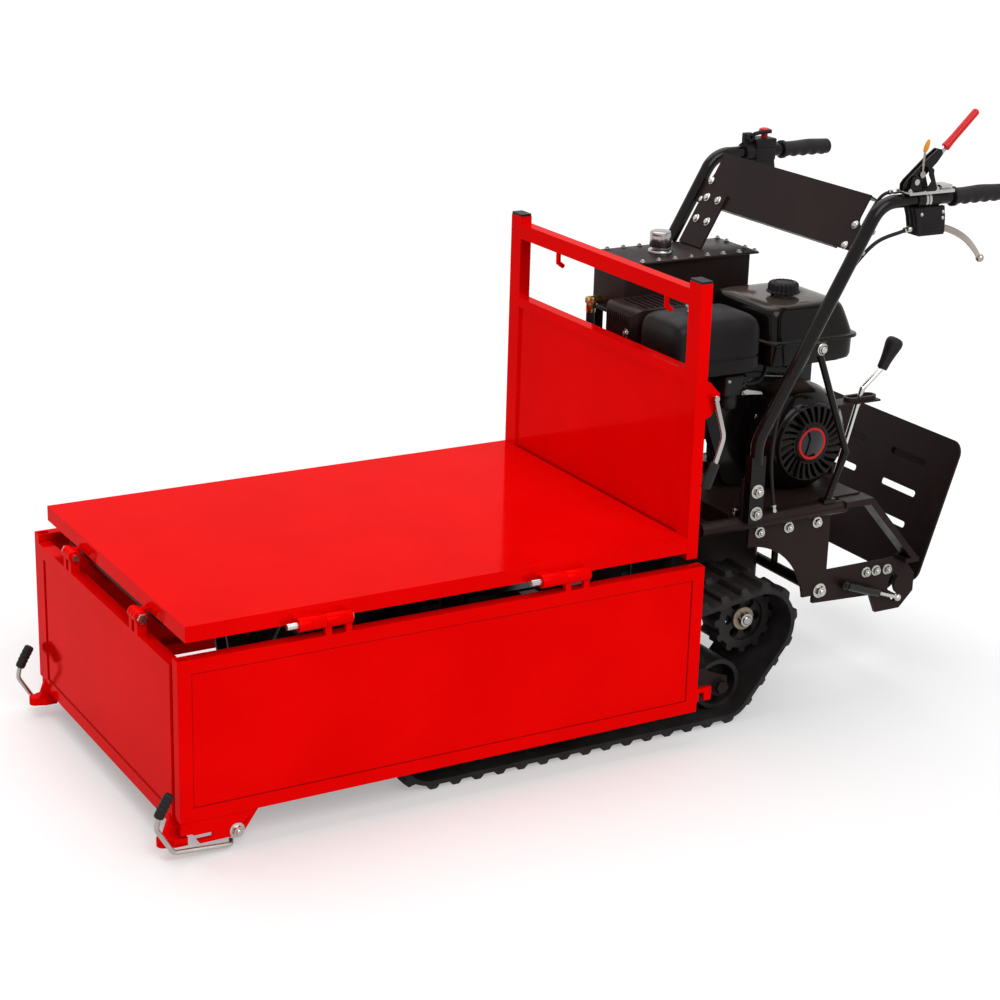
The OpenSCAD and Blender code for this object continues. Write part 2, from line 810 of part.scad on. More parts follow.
module side_rails() {
  guard_low_x = rx(630);
  guard_low_z = hinge_line_z + 62;
  color(black)
    both_sides() {
      pin_x(side_y, side_z, rx(side_tube_rear), rx(side_tube_front), side_tube_r);
      plate_y([
        [foot_x - 20, side_z], [foot_x + 20, side_z], [foot_x + 20, side_z + 96], [foot_x - 20, side_z + 96]
      ], foot_inner - 8, foot_inner);
      plate_y([
        [rx(side_tube_rear + 60), side_z + side_tube_r], [rx(side_tube_rear - 10), side_z + side_tube_r],
        [rx(side_tube_rear - 10), side_z], [rx(side_tube_rear + 54), side_z],
        [guard_low_x, guard_low_z], [guard_low_x - 16, guard_low_z + 2]
      ], side_y - 20, side_y + 20);
      difference() {
        plate_y([
          [rx(395), hinge_line_z + 62], [rx(625), hinge_line_z + 62], [hinge_line_x - 24, hinge_line_z + 20],
          [hinge_line_x - 24, hinge_line_z - 20], [hinge_line_x + 10, hinge_line_z - 54],
          [hinge_line_x + 74, hinge_line_z - 54], [hinge_line_x + 92, hinge_line_z - 12], [rx(395), hinge_line_z - 5]
        ], bracket_y, side_plate_y);
        translate([hinge_line_x, side_plate_y + 1, hinge_line_z])
          rotate([90, 0, 0])
            linear_extrude(height = 10) stud_window();
      }
      block(guard_low_x - 16, guard_low_x + 20, bracket_y, side_y + 20, guard_low_z - 4, guard_low_z + 6);
      pin_y(hinge_line_x, hinge_line_z, arm_y - 4, bracket_y, 8);
      pin_y(strut_x, strut_z, bracket_y, strut_y + 8, stud_r);
    }
}

module side_plates() {
  clear_r = sprocket_r + belt_t + lug_h + 55;
  top = side_z - side_tube_r;
  color(black)
    both_sides()
      difference() {
        plate_y([
          [rx(215), top], [rx(421), top], [rx(421), sprocket_z + 18], [rx(215), sprocket_z + 18]
        ], side_plate_y, side_plate_y + plate_t);
        pin_y(sprocket_x, sprocket_z, side_plate_y - 1, side_plate_y + plate_t + 1, clear_r);
      }
}

module track_beams() {
  z0 = beam_z - beam_h / 2;
  color(black)
    both_sides()
      translate([0, track_y, 0]) {
        box_tube(beam_rear_x, beam_front_x, -beam_w / 2, beam_w / 2, z0, z0 + beam_h, "x");
        for (end = [[beam_front_x, idler_x, idler_z, 1], [beam_rear_x, roller_x, roller_z, -1]])
          difference() {
            union() {
              block(end[0], end[0] + end[3] * plate_t, -fork_y - fork_t, fork_y + fork_t, z0, z0 + beam_h);
              for (y = [-fork_y - fork_t, fork_y])
                plate_y([
                  [end[0], z0], [end[0] + end[3] * plate_t, z0], [end[1], end[2] - 24], [end[1] + end[3] * 18, end[2] - 18],
                  [end[1] + end[3] * 18, end[2] + 18], [end[1], end[2] + 24],
                  [end[0] + end[3] * plate_t, z0 + beam_h], [end[0], z0 + beam_h]
                ], y, y + fork_t);
            }
          }
        for (w = [[idler_x, idler_z], [roller_x, roller_z]]) {
          pin_y(w[0], w[1], -fork_y - fork_t - 4, fork_y + fork_t, axle_r);
          pin_y(w[0], w[1], fork_y + fork_t, fork_y + fork_t + 3, 17);
          hex_y(w[0], w[1], fork_y + fork_t + 3, fork_y + fork_t + 13, 14);
        }
        for (y = [-fork_y - fork_t, fork_y])
          block(mid_x - 18, mid_x + 18, y, y + fork_t, mid_z - 16, z0 + 10);
        block(mid_x - 18, mid_x + 18, -fork_y - fork_t, fork_y + fork_t, z0 - 6, z0);
        pin_y(mid_x, mid_z, -fork_y - fork_t, fork_y + fork_t, axle_r);
      }
}

// Outline of a track belt: straights between the wheels and arcs round them
function wheel(i) = track_wheels[i % 3];
function span(i) = let (a = wheel(i), b = wheel(i + 1)) [b[0] - a[0], b[1] - a[1]];
function raw_normal(i) = atan2(span(i)[1], span(i)[0]) - acos((wheel(i)[2] - wheel(i + 1)[2]) / norm(span(i)));
function normal(i) = i == 0 ? raw_normal(0) : let (n = raw_normal(i)) n < raw_normal(0) ? n + 360 : n;
function straight_len(i) = sqrt(pow(norm(span(i)), 2) - pow(wheel(i)[2] - wheel(i + 1)[2], 2));
function arc_turn(i) = i == 2 ? normal(0) + 360 - normal(2) : normal(i + 1) - normal(i);
function arc_len(i) = wheel(i + 1)[2] * arc_turn(i) * PI / 180;
function on_wheel(i, a, off) = let (w = wheel(i)) [w[0] + (w[2] + off) * cos(a), w[1] + (w[2] + off) * sin(a)];
belt_len = straight_len(0) + arc_len(0) + straight_len(1) + arc_len(1) + straight_len(2) + arc_len(2);

function belt_point(s, off, i = 0) = let (l = straight_len(i), c = arc_len(i))
  i == 3 ? belt_point(s, off)
  : s < l ? on_wheel(i, normal(i), off) + s * [-sin(normal(i)), cos(normal(i))]
  : s < l + c ? on_wheel(i + 1, normal(i) + arc_turn(i) * (s - l) / c, off)
  : belt_point(s - l - c, off, i + 1);

lug_count = round(belt_len / lug_pitch);
lug_step = belt_len / lug_count;
lug_len = 22;
lug_crest = 13;
arc_steps = 16;

module belt_half(phase, y0, y1) {
  outer = [
    for (k = [0:lug_count - 1])
      let (s = (k + phase) * lug_step)
      each [
        belt_point(s, belt_t),
        belt_point(s + (lug_len - lug_crest) / 2, belt_t + lug_h),
        belt_point(s + (lug_len + lug_crest) / 2, belt_t + lug_h),
        belt_point(s + lug_len, belt_t),
        belt_point(s + (lug_len + lug_step) / 2, belt_t)
      ]
  ];
  inner = [
    for (i = [0:2], k = [0:arc_steps])
      on_wheel(i + 1, normal(i) + arc_turn(i) * k / arc_steps, 0)
  ];
  translate([0, y1, 0])
    rotate([90, 0, 0])
      linear_extrude(height = y1 - y0)
        difference() {
          polygon(outer);
          polygon(inner);
        }
}

module track_belt() {
  color(rubber) {
    belt_half(0.1, track_y - track_w / 2, track_y);
    belt_half(0.6, track_y, track_y + track_w / 2);
  }
}

module track_belt_left() {
  track_belt();
}

module track_belt_right() {
  mirror([0, 1, 0]) track_belt();
}

sprocket_teeth = 12;
module sprocket() {
  body_w = 60;
  tip = sprocket_r - 1.2;
  hub_out = track_y + 30;
  color(dark) {
    translate([sprocket_x, track_y + body_w / 2, sprocket_z])
      rotate([90, 0, 0]) {
        linear_extrude(height = body_w)
          difference() {
            union() {
              circle(r = tip - 10);
              for (k = [0:sprocket_teeth - 1])
                rotate(360 * k / sprocket_teeth)
                  polygon([[tip - 14, -9], [tip - 3, -7], [tip, -4], [tip, 4], [tip - 3, 7], [tip - 14, 9]]);
            }
            circle(r = 46);
          }
        translate([0, 0, 8])
          linear_extrude(height = 12)
            difference() {
              circle(r = 48);
              for (k = [0:5]) rotate(60 * k) translate([34, 0]) circle(r = 10.5);
            }
      }
    pin_y(sprocket_x, sprocket_z, gear_half + 12, hub_out, shaft_r);
    pin_y(sprocket_x, sprocket_z, track_y - body_w / 2 + 8, hub_out - 6, 23);
  }
  color(chrome) {
    pin_y(sprocket_x, sprocket_z, hub_out - 6, hub_out - 2, 19);
    hex_y(sprocket_x, sprocket_z, hub_out - 2, hub_out + 9, 15);
  }
}

module sprocket_left() {
  sprocket();
}

module sprocket_right() {
  mirror([0, 1, 0]) sprocket();
}

// A track wheel with a hub, a web with holes and a rim, bored for its axle
module track_wheel(x, z, r, holes) {
  rim = r - gap;
  half = wheel_w / 2;
  color(dark)
    translate([x, track_y, z])
      rotate([-90, 0, 0])
        difference() {
          rotate_extrude()
            polygon([
              [axle_r + run_fit, -half], [axle_r + 10, -half], [axle_r + 10, -8], [rim - 9, -8], [rim - 9, -half],
              [rim, -half], [rim, half], [rim - 9, half], [rim - 9, 8], [axle_r + 10, 8], [axle_r + 10, half],
              [axle_r + run_fit, half]
            ]);
          for (k = [0:holes - 1])
            rotate([0, 0, 360 * k / holes])
              translate([(rim + axle_r) / 2, 0, -half])
                cylinder(h = wheel_w, r = (rim - axle_r) / 2 - 13);
        }
}

module front_idler_left() {
  track_wheel(idler_x, idler_z, idler_r, 6);
}

module front_idler_right() {
  mirror([0, 1, 0]) front_idler_left();
}

module rear_roller_left() {
  track_wheel(roller_x, roller_z, roller_r, 6);
}

module rear_roller_right() {
  mirror([0, 1, 0]) rear_roller_left();
}

module mid_roller_left() {
  half = wheel_w / 2;
  color(dark)
    translate([mid_x, track_y, mid_z])
      rotate([-90, 0, 0])
        rotate_extrude()
          polygon([
            [axle_r + run_fit, -half], [mid_r, -half], [mid_r, -12], [mid_r - 6, -8], [mid_r - 6, 8], [mid_r, 12],
            [mid_r, half], [axle_r + run_fit, half]
          ]);
}

module mid_roller_right() {
  mirror([0, 1, 0]) mid_roller_left();
}

module gearbox() {
  tube_end = track_y - wheel_w / 2 - 10;
  color(black)
    difference() {
      union() {
        soft_box(rx(gear_rear), rx(gear_front), -gear_half, gear_half, sprocket_z - 50, rail_top - 8, 20, 45);
        pin_y(sprocket_x, sprocket_z, -tube_end, tube_end, 30);
        pin_y(input_x, input_z, -gear_half - 14, 0, input_r + 6);
      }
      both_sides()
        pin_y(sprocket_x, sprocket_z, gear_half + 8, tube_end + 1, shaft_r + run_fit);
      pin_y(input_x, input_z, -gear_half - 15, -30, input_r + run_fit);
    }
}

module bolt(x, z, y, r) {
  pin_y(x, z, y, y + 2, r + 2);
  hex_y(x, z, y + 2, y + 8, r);
}

module frame_bolts() {
  plate_out = side_plate_y + plate_t;
  foot_out = foot_inner + 20;
  color(chrome)
    both_sides() {
      for (d = [242, 314, 386]) bolt(rx(d), side_z - 28, plate_out, 8);
      bolt(rear_bar_x, rear_bar_z, plate_out, 11);
      for (z = [side_z + 29, side_z + 75]) bolt(foot_x, z, foot_out, 10);
      for (d = [530, 556]) bolt(rx(d), hinge_line_z + 42, side_plate_y, 8);
      bolt(rx(586), hinge_line_z + 40, side_plate_y, 8);
    }
}

// Engine
module crankcase() {
  lean = 25;
  color(black)
    difference() {
      union() {
        soft_box(crank_x - 105, crank_x + 85, case_far, case_near, engine_z, engine_z + 190, 16, 40);
        block(crank_x - 115, crank_x + 100, case_far - 6, case_near, engine_z, engine_z + 14);
        translate([crank_x, 0, crank_z])
          rotate([0, -lean, 0]) {
            translate([40, -50, -60]) cube([150, 130, 120]);
            for (k = [0:6])
              translate([88 + 15 * k, -64, -74]) cube([5, 158, 148]);
            translate([190, -42, -52]) cube([34, 114, 104]);
          }
        block(crank_x - 70, crank_x + 80, -20, case_near, engine_z + 180, fuel_z);
        block(crank_x + 75, rx(air_rear - 50), air_near - air_w, case_near, air_z - 40, air_z);
        translate([pipe_x, pipe_y, crank_z + 90]) cylinder(h = muffler_z - crank_z - 90, r = 14);
        pin_y(crank_x, crank_z, case_far - 12, case_far, 40);
      }
      pin_y(crank_x, crank_z, case_far - 13, case_near - 40, crank_r + run_fit);
    }
}

module recoil_cover() {
  base_r = 116;
  depth = cover_face - case_near;
  badge_r = grille_r - 44;
  color(black)
    translate([crank_x, case_near, crank_z])
      rotate([-90, 0, 0])
        difference() {
          rotate_extrude()
            polygon([
              [0, 0], [base_r, 0], [base_r, depth * 0.45], [base_r - 6, depth * 0.62], [grille_r + 20, depth * 0.76],
              [grille_r + 8, depth * 0.88], [grille_r + 2, depth * 0.92], [grille_r - 2, depth * 0.97],
              [badge_r + 3, depth * 0.97], [badge_r + 3, depth], [0, depth]
            ]);
          for (k = [0:grille_blades - 1])
            rotate([0, 0, 360 * k / grille_blades])
              translate([badge_r + 6, -2, depth - 18])
                rotate([0, 0, 12]) cube([grille_r - badge_r - 8, 5, 30]);
          translate([-base_r, crank_h, -1]) cube([2 * base_r, base_r, 2 * depth]);
        }
}

module fuel_tank() {
  x0 = fuel_x - fuel_len / 2;
  x1 = fuel_x + fuel_len / 2;
  seam = fuel_z + fuel_h * 0.42;
  color(black) {
    soft_box(x0 + 8, x1 - 8, fuel_far + 8, fuel_near - 8, fuel_z, seam, 24, 14);
    translate([fuel_x, (fuel_near + fuel_far) / 2, seam])
      linear_extrude(height = 4) round_rect(fuel_len, fuel_near - fuel_far, 28);
    translate([fuel_x, (fuel_near + fuel_far) / 2, seam + 4])
      soft_box(-fuel_len / 2 + 8, fuel_len / 2 - 8, fuel_far / 2 - fuel_near / 2 + 8, fuel_near / 2 - fuel_far / 2 - 8,
        0, fuel_h - (seam - fuel_z) - 4, 24, 20);
    translate([cap_x, cap_y, fuel_z + fuel_h]) cylinder(h = 8, r = 24);
  }
}

cap_x = crank_x + 10;
cap_y = 85;
module fuel_cap() {
  color(dark)
    translate([cap_x, cap_y, fuel_z + fuel_h + 8 + gap]) {
      cylinder(h = 4, r = 34);
      for (k = [0:15])
        rotate([0, 0, 22.5 * k]) translate([26, -3, 3]) cube([6, 6, 14]);
      translate([0, 0, 4]) cylinder(h = 15, r = 30);
      translate([0, 0, 19]) cylinder(h = 4, r1 = 30, r2 = 22);
    }
}

module air_cleaner() {
  y0 = air_near - air_w;
  color(black) {
    soft_box(rx(air_rear), rx(air_front), y0, air_near, air_z, air_z + air_h - 14, 22, 22);
    translate([rx((air_front + air_rear) / 2), (y0 + air_near) / 2, 0])
      soft_box(-(air_rear - air_front) / 2 + 12, (air_rear - air_front) / 2 - 12, -air_w / 2 + 10, air_w / 2 - 10,
        air_z + air_h - 40, air_z + air_h, 24, 18);
    translate([rx(air_front + 80), (y0 + air_near) / 2, air_z + air_h - 2]) {
      cylinder(h = 8, r = 5);
      translate([-12, -2.5, 4]) cube([24, 5, 9]);
    }
  }
}

louvres = 7;
pipe_x = crank_x + 190;
pipe_y = -20;
module muffler() {
  x0 = rx(240);
  x1 = rx(70);
  color(black)
    difference() {
      soft_box(x0, x1, -92, 22, muffler_z, muffler_z + 104, 20, 24);
      for (k = [0:louvres - 1])
        translate([x0 + 40 + 14 * k, -80, muffler_z + 98]) cube([6, 88, 8]);
    }
}

// Belt drive
module grooved_pulley(r) {
  h = pulley_w / 2;
  g = groove_w / 2;
  rotate([-90, 0, 0])
    rotate_extrude()
      polygon([[0, -h], [r, -h], [r, -g], [r - groove_d, -g], [r - groove_d, g], [r, g], [r, h], [0, h]]);
}

module drive_pulley() {
  color(dark) {
    translate([crank_x, pulley_y, crank_z]) grooved_pulley(small_pulley_r);
    pin_y(crank_x, crank_z, pulley_y, case_far + 30, crank_r);
  }
}

module gearbox_pulley() {
  color(dark) {
    translate([input_x, pulley_y, input_z]) grooved_pulley(big_pulley_r);
    pin_y(input_x, input_z, pulley_y, -gear_half + 20, input_r);
  }
}

module drive_belt() {
  a = [crank_x, crank_z, small_pulley_r - groove_d + gap];
  b = [input_x, input_z, big_pulley_r - groove_d + gap];
  d = [b[0] - a[0], b[1] - a[1]];
  half_turn = acos((a[2] - b[2]) / norm(d));
  face = atan2(d[1], d[0]);
  steps = 14;
  color(rubber)
    translate([0, pulley_y + vbelt_w / 2, 0])
      rotate([90, 0, 0])
        linear_extrude(height = vbelt_w)
          difference() {
            polygon(belt_loop(a, b, face, half_turn, vbelt_t, steps));
            polygon(belt_loop(a, b, face, half_turn, 0, steps));
          }
}

function belt_loop(a, b, face, half_turn, off, steps) = [
  for (k = [0:steps])
    let (t = face + half_turn + (360 - 2 * half_turn) * k / steps)
    [a[0] + (a[2] + off) * cos(t), a[1] + (a[2] + off) * sin(t)],
  for (k = [0:steps])
    let (t = face - half_turn + 2 * half_turn * k / steps)
    [b[0] + (b[2] + off) * cos(t), b[1] + (b[2] + off) * sin(t)]
];

// Hydraulics
module oil_tank() {
  x1 = rx(oil_front);
  x0 = x1 - oil_len;
  color(black) {
    soft_box(x0, x1, oil_far, oil_near, oil_z, oil_lid_z, 6, 6);
    for (x = [x0 + 72, x1 - 44]) {
      block(x, x + 40, -side_y - 5, -side_y, side_z + side_tube_r - gap, oil_z);
      block(x, x + 40, -side_y - 5, oil_near - 20, oil_z - 5, oil_z);
    }
  }
}

lid_bolts = 6;
module oil_tank_lid() {
  x1 = rx(oil_front) + lid_over;
  x0 = x1 - oil_len - 2 * lid_over;
  y0 = oil_far - lid_over;
  y1 = oil_near + lid_over;
  color(black)
    translate([(x0 + x1) / 2, (y0 + y1) / 2, oil_lid_z])
      linear_extrude(height = lid_t) round_rect(x1 - x0, y1 - y0, 5);
  color(chrome)
    for (k = [0:lid_bolts - 1], y = [y0 + 7, y1 - 7])
      translate([x0 + 12 + k * (x1 - x0 - 24) / (lid_bolts - 1), y, oil_lid_z + lid_t])
        cylinder(h = 4, r = 5, $fn = 6);
}

filler_x = rx(260);
filler_y = oil_near - oil_w / 2;
module filler_cap() {
  color(chrome)
    translate([filler_x, filler_y, oil_lid_z + lid_t + gap]) {
      cylinder(h = 6, r = 26);
      translate([0, 0, 6]) cylinder(h = 6, r = 17);
      translate([0, 0, 12]) cylinder(h = 34, r = 23);
    }
}

hose_points = [[0, 0, 0], [0, 0, -90], [4, 10, -180], [8, 30, -260], [8, 40, -300]];
module oil_hose() {
  x = rx(oil_front) + 20;
  y = oil_far + 28;
  z = oil_z + 17;
  low = rail_top + cross_tube;
  color(brass) {
    pin_x(y, z, rx(oil_front), x, 8);
    translate([x, y, z]) sphere(r = 10);
    rod([x, y, z], [x, y, z - 26], 8);
  }
  color(rubber)
    translate([x, y, z - 20]) rod_path(hose_points, 9);
  color(brass)
    translate([x + 8, y + 40, low]) cylinder(h = z - 320 - low + 4, r = 7);
}

module ram_frame() {
  translate([ram_base_x, 0, ram_base_z])
    rotate([0, -ram_angle, 0]) children();
}

ram_body = 232;
ram_bore = 20;
module ram_barrel() {
  color(dark)
    ram_frame()
      difference() {
        union() {
          rotate([-90, 0, 0]) translate([0, 0, -24]) cylinder(h = 48, r = 18);
          translate([0, 0, 14]) cylinder(h = ram_body - 14, r = ram_barrel_r);
        }
        rotate([-90, 0, 0]) translate([0, 0, -30]) cylinder(h = 60, r = ram_pin_r + run_fit);
        translate([0, 0, 32]) cylinder(h = ram_body - 52, r = ram_bore);
        translate([0, 0, 40]) cylinder(h = ram_body, r = ram_rod_r + run_fit);
      }
}

module ram_rod() {
  eye_r = ram_pin_r + ram_head_free;
  color(chrome)
    ram_frame()
      difference() {
        union() {
          translate([0, 0, 34]) cylinder(h = 6, r = ram_bore - run_fit);
          translate([0, 0, 40]) cylinder(h = ram_len - 60, r = ram_rod_r);
          translate([0, 0, ram_len]) rotate([-90, 0, 0]) translate([0, 0, -12]) cylinder(h = 24, r = eye_r + 9);
        }
        translate([0, 0, ram_len]) rotate([-90, 0, 0]) translate([0, 0, -20]) cylinder(h = 40, r = eye_r);
      }
}

// Handle
module handlebars() {
  color(black)
    both_sides()
      translate([0, handle_y, 0]) {
        bent_tube([[foot_x, knee_z - 46], [foot_x, knee_z], [bend_x, handle_z], [rx(grip_reach - 6), handle_z]],
          handle_r, bend_r);
        block(foot_x - foot_len_x / 2, foot_x + foot_len_x / 2, -11, 9, side_z + 8, knee_z - 30);
        translate([brace_x, 0, brace_z])
          rotate([0, 0, 0]) block(-13, tube_x(brace_z) - brace_x, -3, 3, -13, 13);
      }
}

function tube_x(z) = foot_x + (bend_x - foot_x) * (z - knee_z) / (handle_z - knee_z);
brace_z = knee_z + 172;
brace_x = tube_x(brace_z) - 41;
brace_y = handle_y - 3 - 10;

module brace_rods() {
  color(black)
    both_sides() {
      pin_y(brace_x, brace_z, brace_y, brace_y + 10, 13);
      rod_path([
        [brace_x, brace_y + 3, brace_z], [rx(432), brace_y + 3, brace_z - 227],
        [rx(405), side_y, side_z + side_tube_r + 7]
      ], 7);
      block(rx(391), rx(419), side_y - 9, side_y + 9, side_z + side_tube_r - gap, side_z + side_tube_r + 8);
    }
  color(chrome)
    both_sides() bolt(brace_x, brace_z, handle_y + 3, 9);
}

panel_half = handle_y - handle_r - 4;
module cross_panel() {
  along = 118;
  fold = 32;
  end_y = handle_y - handle_r + gap;
  top_z = handle_z + 8;
  top_x = tube_x(top_z);
  t = sheet_t;
  reach = (top_z - oil_lid_z - lid_t) / sin(slope) + 0.9;
  color(black)
    translate([top_x, 0, top_z])
      rotate([0, -(90 - slope), 0]) {
        difference() {
          block(-t / 2, t / 2, -end_y, end_y, -along, 0);
          both_sides()
            translate([0, handle_y - 6, -22])
              rotate([0, 90, 0])
                linear_extrude(height = 20, center = true) round_rect(86, 58, 18);
        }
        block(-fold, t / 2, -handle_y + 40, handle_y - 40, -t, 0);
        block(-t / 2 - 16, t / 2, -panel_half + 60, panel_half - 60, -along, -along + t);
      }
  color(black)
    translate([top_x, 0, top_z])
      rotate([0, -(90 - slope), 0])
        block(t / 2, t / 2 + 5, oil_far - 8, oil_far + 72, -reach, -along + 30);
  color(chrome)
    translate([top_x, 0, top_z])
      rotate([0, -(90 - slope), 0])
        for (y = [oil_far + 12, oil_far + 52], z = [-along + 14, -along - 36])
          translate([t / 2 + 5, y, z]) rotate([0, 90, 0]) cylinder(h = 5, r = 7);
}

module handle_grips() {
  x0 = rx(grip_reach);
  color(rubber)
    both_sides()
      translate([x0, handle_y, handle_z])
        rotate([0, 90, 0])
          rotate_extrude()
            difference() {
              union() {
                translate([0, 2]) square([grip_r - 2, grip_len - 2]);
                square([grip_r - 4, 4]);
                for (k = [0:5]) translate([grip_r - 3, 14 + 18 * k]) square([3, 11]);
                translate([0, grip_len - 8]) square([grip_r + 2, 8]);
              }
              translate([0, 6]) square([handle_r, grip_len]);
            }
}

// Controls
module control_housings() {
  plate_z = handle_z + handle_r;
  color(chrome) {
    block(bar(256), bar(142), handle_y - 22, handle_y + 22, plate_z - gap, plate_z + 6);
    block(bar(170), bar(142), handle_y - 18, handle_y + 14, plate_z + 6, plate_z + 14);
    for (d = [204, 196])
      pin_x_ring(bar(d));
  }
  color(black) {
    for (y = [handle_y - 14, handle_y + 9])
      plate_y([
        [clutch_x - 16, plate_z + 6], [clutch_x + 16, plate_z + 6], [clutch_x + 8, clutch_z + 9], [clutch_x - 8, clutch_z + 9]
      ], y, y + 5);
    pin_y(clutch_x, clutch_z, handle_y - 14, handle_y + 14, 4);
    both_sides() {
      difference() {
        plate_y([
          [bar(225), handle_z - handle_r], [bar(145), handle_z - handle_r], [bar(152), steer_z + 26], [bar(152), steer_z - 8],
          [bar(210), steer_z - 8], [bar(218), steer_z + 30]
        ], handle_y - 18, handle_y + 18);
        block(bar(173), bar(130), handle_y - lever_t / 2 - 1, handle_y + lever_t / 2 + 1, steer_z - 20, steer_z + 30);
      }
      pin_y(bar(160), steer_z + 4, handle_y - 18, handle_y + 18, 4);
    }
    translate([0, -handle_y, 0])
      difference() {
        union() {
          block(bar(213), bar(158), -22, 22, plate_z - gap, plate_z + 16);
          pin_x(0, handle_z, bar(234), bar(212), handle_r + 7);
          block(bar(234), bar(212), -7, 7, handle_z + handle_r, throttle_z + 8);
          pin_y(throttle_x, throttle_z, 0, 16, throttle_pin_r);
        }
        pin_x(0, handle_z, bar(270), bar(130), handle_r);
        translate([stop_x, 0, plate_z + 8]) cylinder(h = 10, r = stop_r + run_fit);
      }
  }
}

module pin_x_ring(x) {
  difference() {
    pin_x(handle_y, handle_z, x - 3, x + 3, handle_r + 4);
    pin_x(handle_y, handle_z, x - 4, x + 4, handle_r);
  }
}

module clutch_lever() {
  x = clutch_x;
  z = clutch_z;
  color(black) {
    difference() {
      union() {
        pin_y(x, z, handle_y - 8, handle_y + 8, 9);
        rod_path([[x, handle_y, z], [x - 60, handle_y, z + 46], [x - 147, handle_y, z + 127]], 7);
      }
      pin_y(x, z, handle_y - 20, handle_y + 20, 4 + run_fit);
      pin_y(tab_x, tab_z, handle_y - 20, handle_y + 20, tab_pin_r + run_fit);
    }
  }
  color(red)
    rod([x - 81.5, handle_y, z + 66], [x - 147, handle_y, z + 127], 10);
}

tab_x = clutch_x - 17;
tab_z = clutch_z + 13;
tab_pin_r = 3;
module lock_tab() {
  y0 = handle_y + 7 + gap;
  color(orange) {
    pin_y(tab_x, tab_z, handle_y - 7, y0 + 4, tab_pin_r);
    pin_y(tab_x, tab_z, y0, y0 + 4, 7);
    block(tab_x - 2.5, tab_x + 2.5, y0, y0 + 4, tab_z, tab_z + 46);
    block(tab_x - 5, tab_x + 5, y0 - 4, y0 + 5, tab_z + 45, tab_z + 68);
  }
}

module steering_lever() {
  x = bar(160);
  z = steer_z + 4;
  color(chrome)
    difference() {
      union() {
        pin_y(x, z, handle_y - lever_t / 2, handle_y + lever_t / 2, 9);
        rod_path([
          [x, handle_y, z], [x - 46, handle_y, z - 4], [x - 76, handle_y, z - 18], [x - 104, handle_y, z - 44],
          [x - 120, handle_y, z - 70]
        ], lever_t / 2 - 0.6);
        translate([x - 120, handle_y, z - 70]) sphere(r = lever_t / 2 + 2.5);
      }
      pin_y(x, z, handle_y - 20, handle_y + 20, 4 + run_fit);
    }
}

module steering_lever_left() {
  steering_lever();
}

module steering_lever_right() {
  mirror([0, 1, 0]) steering_lever();
}

module throttle_lever() {
  x = throttle_x;
  z = throttle_z;
  y = -handle_y + 7 + gap;
  color(dark)
    difference() {
      union() {
        pin_y(x, z, y, y + 8, 9.4);
        rod_path([[x - 8, y + 5.2, z + 6], [x - 26, y + 8, z + 10], [x - 46, y + 16, z + 12]], 4.5);
      }
      pin_y(x, z, y - 1, y + 20, throttle_pin_r + run_fit);
    }
}

module stop_button() {
  color(red)
    translate([stop_x, -handle_y, handle_z + handle_r + 16]) {
      translate([0, 0, -3]) cylinder(h = 9, r = stop_r);
      translate([0, 0, 5]) cylinder(h = 9, r = stop_r + 4);
    }
}

module gear_lever() {
  color(chrome)
    difference() {
      union() {
        pin_y(shift_x, shift_z, rail_y - 8, rail_y + 9, 13);
        rod_path([[shift_x, rail_y, shift_z], [shift_bend_x, rail_y, shift_bend_z], [shift_tip_x, rail_y, shift_tip_z]], 6);
      }
      pin_y(shift_x, shift_z, rail_y - 20, rail_y + 20, shift_pin_r + run_fit);
    }
}

module gear_knob() {
  base = [shift_tip_x, rail_y, shift_tip_z];
  color(dark)
    translate(base)
      rotate([0, -knob_lean, 0])
        rotate_extrude()
          polygon([[0, 0], [11, 0], [12, 14], [19, 52], [18, 62], [12, 68], [0, 70]]);
}

// Control cables, held along the handlebars from the levers to the gearbox
steer_start = [bar(212.5), handle_y, steer_z + 8];
steer_end = [rx(270), side_y + 2, side_z + side_tube_r - 1];
clutch_start = [bar(254), handle_y - 16, handle_z + handle_r + 3];
clutch_end = [rx(185), cross_end - 6, rail_top + cross_tube - 1];
steer_cable = concat(
  [for (p = [[0, 0, 0], [36, 1, -6], [104, -3, -28], [162, -15, -98], [203, -20, -178], [280, -21, -318], [303, -21, -438]])
    steer_start + p],
  [steer_end]
);
clutch_cable = concat(
  [for (p = [[0, 0, 0], [29, -5, -4.5], [46, -11, -25], [74, -15, -74], [120, -15, -159], [166, -17, -249], [246, -19, -389], [291, -23, -509]])
    clutch_start + p],
  [clutch_end]
);
module control_cables() {
  color(rubber) {
    both_sides() swept_tube(steer_cable, 4, 4, 8);
    swept_tube(clutch_cable, 3.5, 4, 8);
  }
}

// Operator platform
module platform_frame() {
  translate([hinge_line_x, 0, hinge_line_z])
    rotate([0, -platform_lean, 0]) children();
}

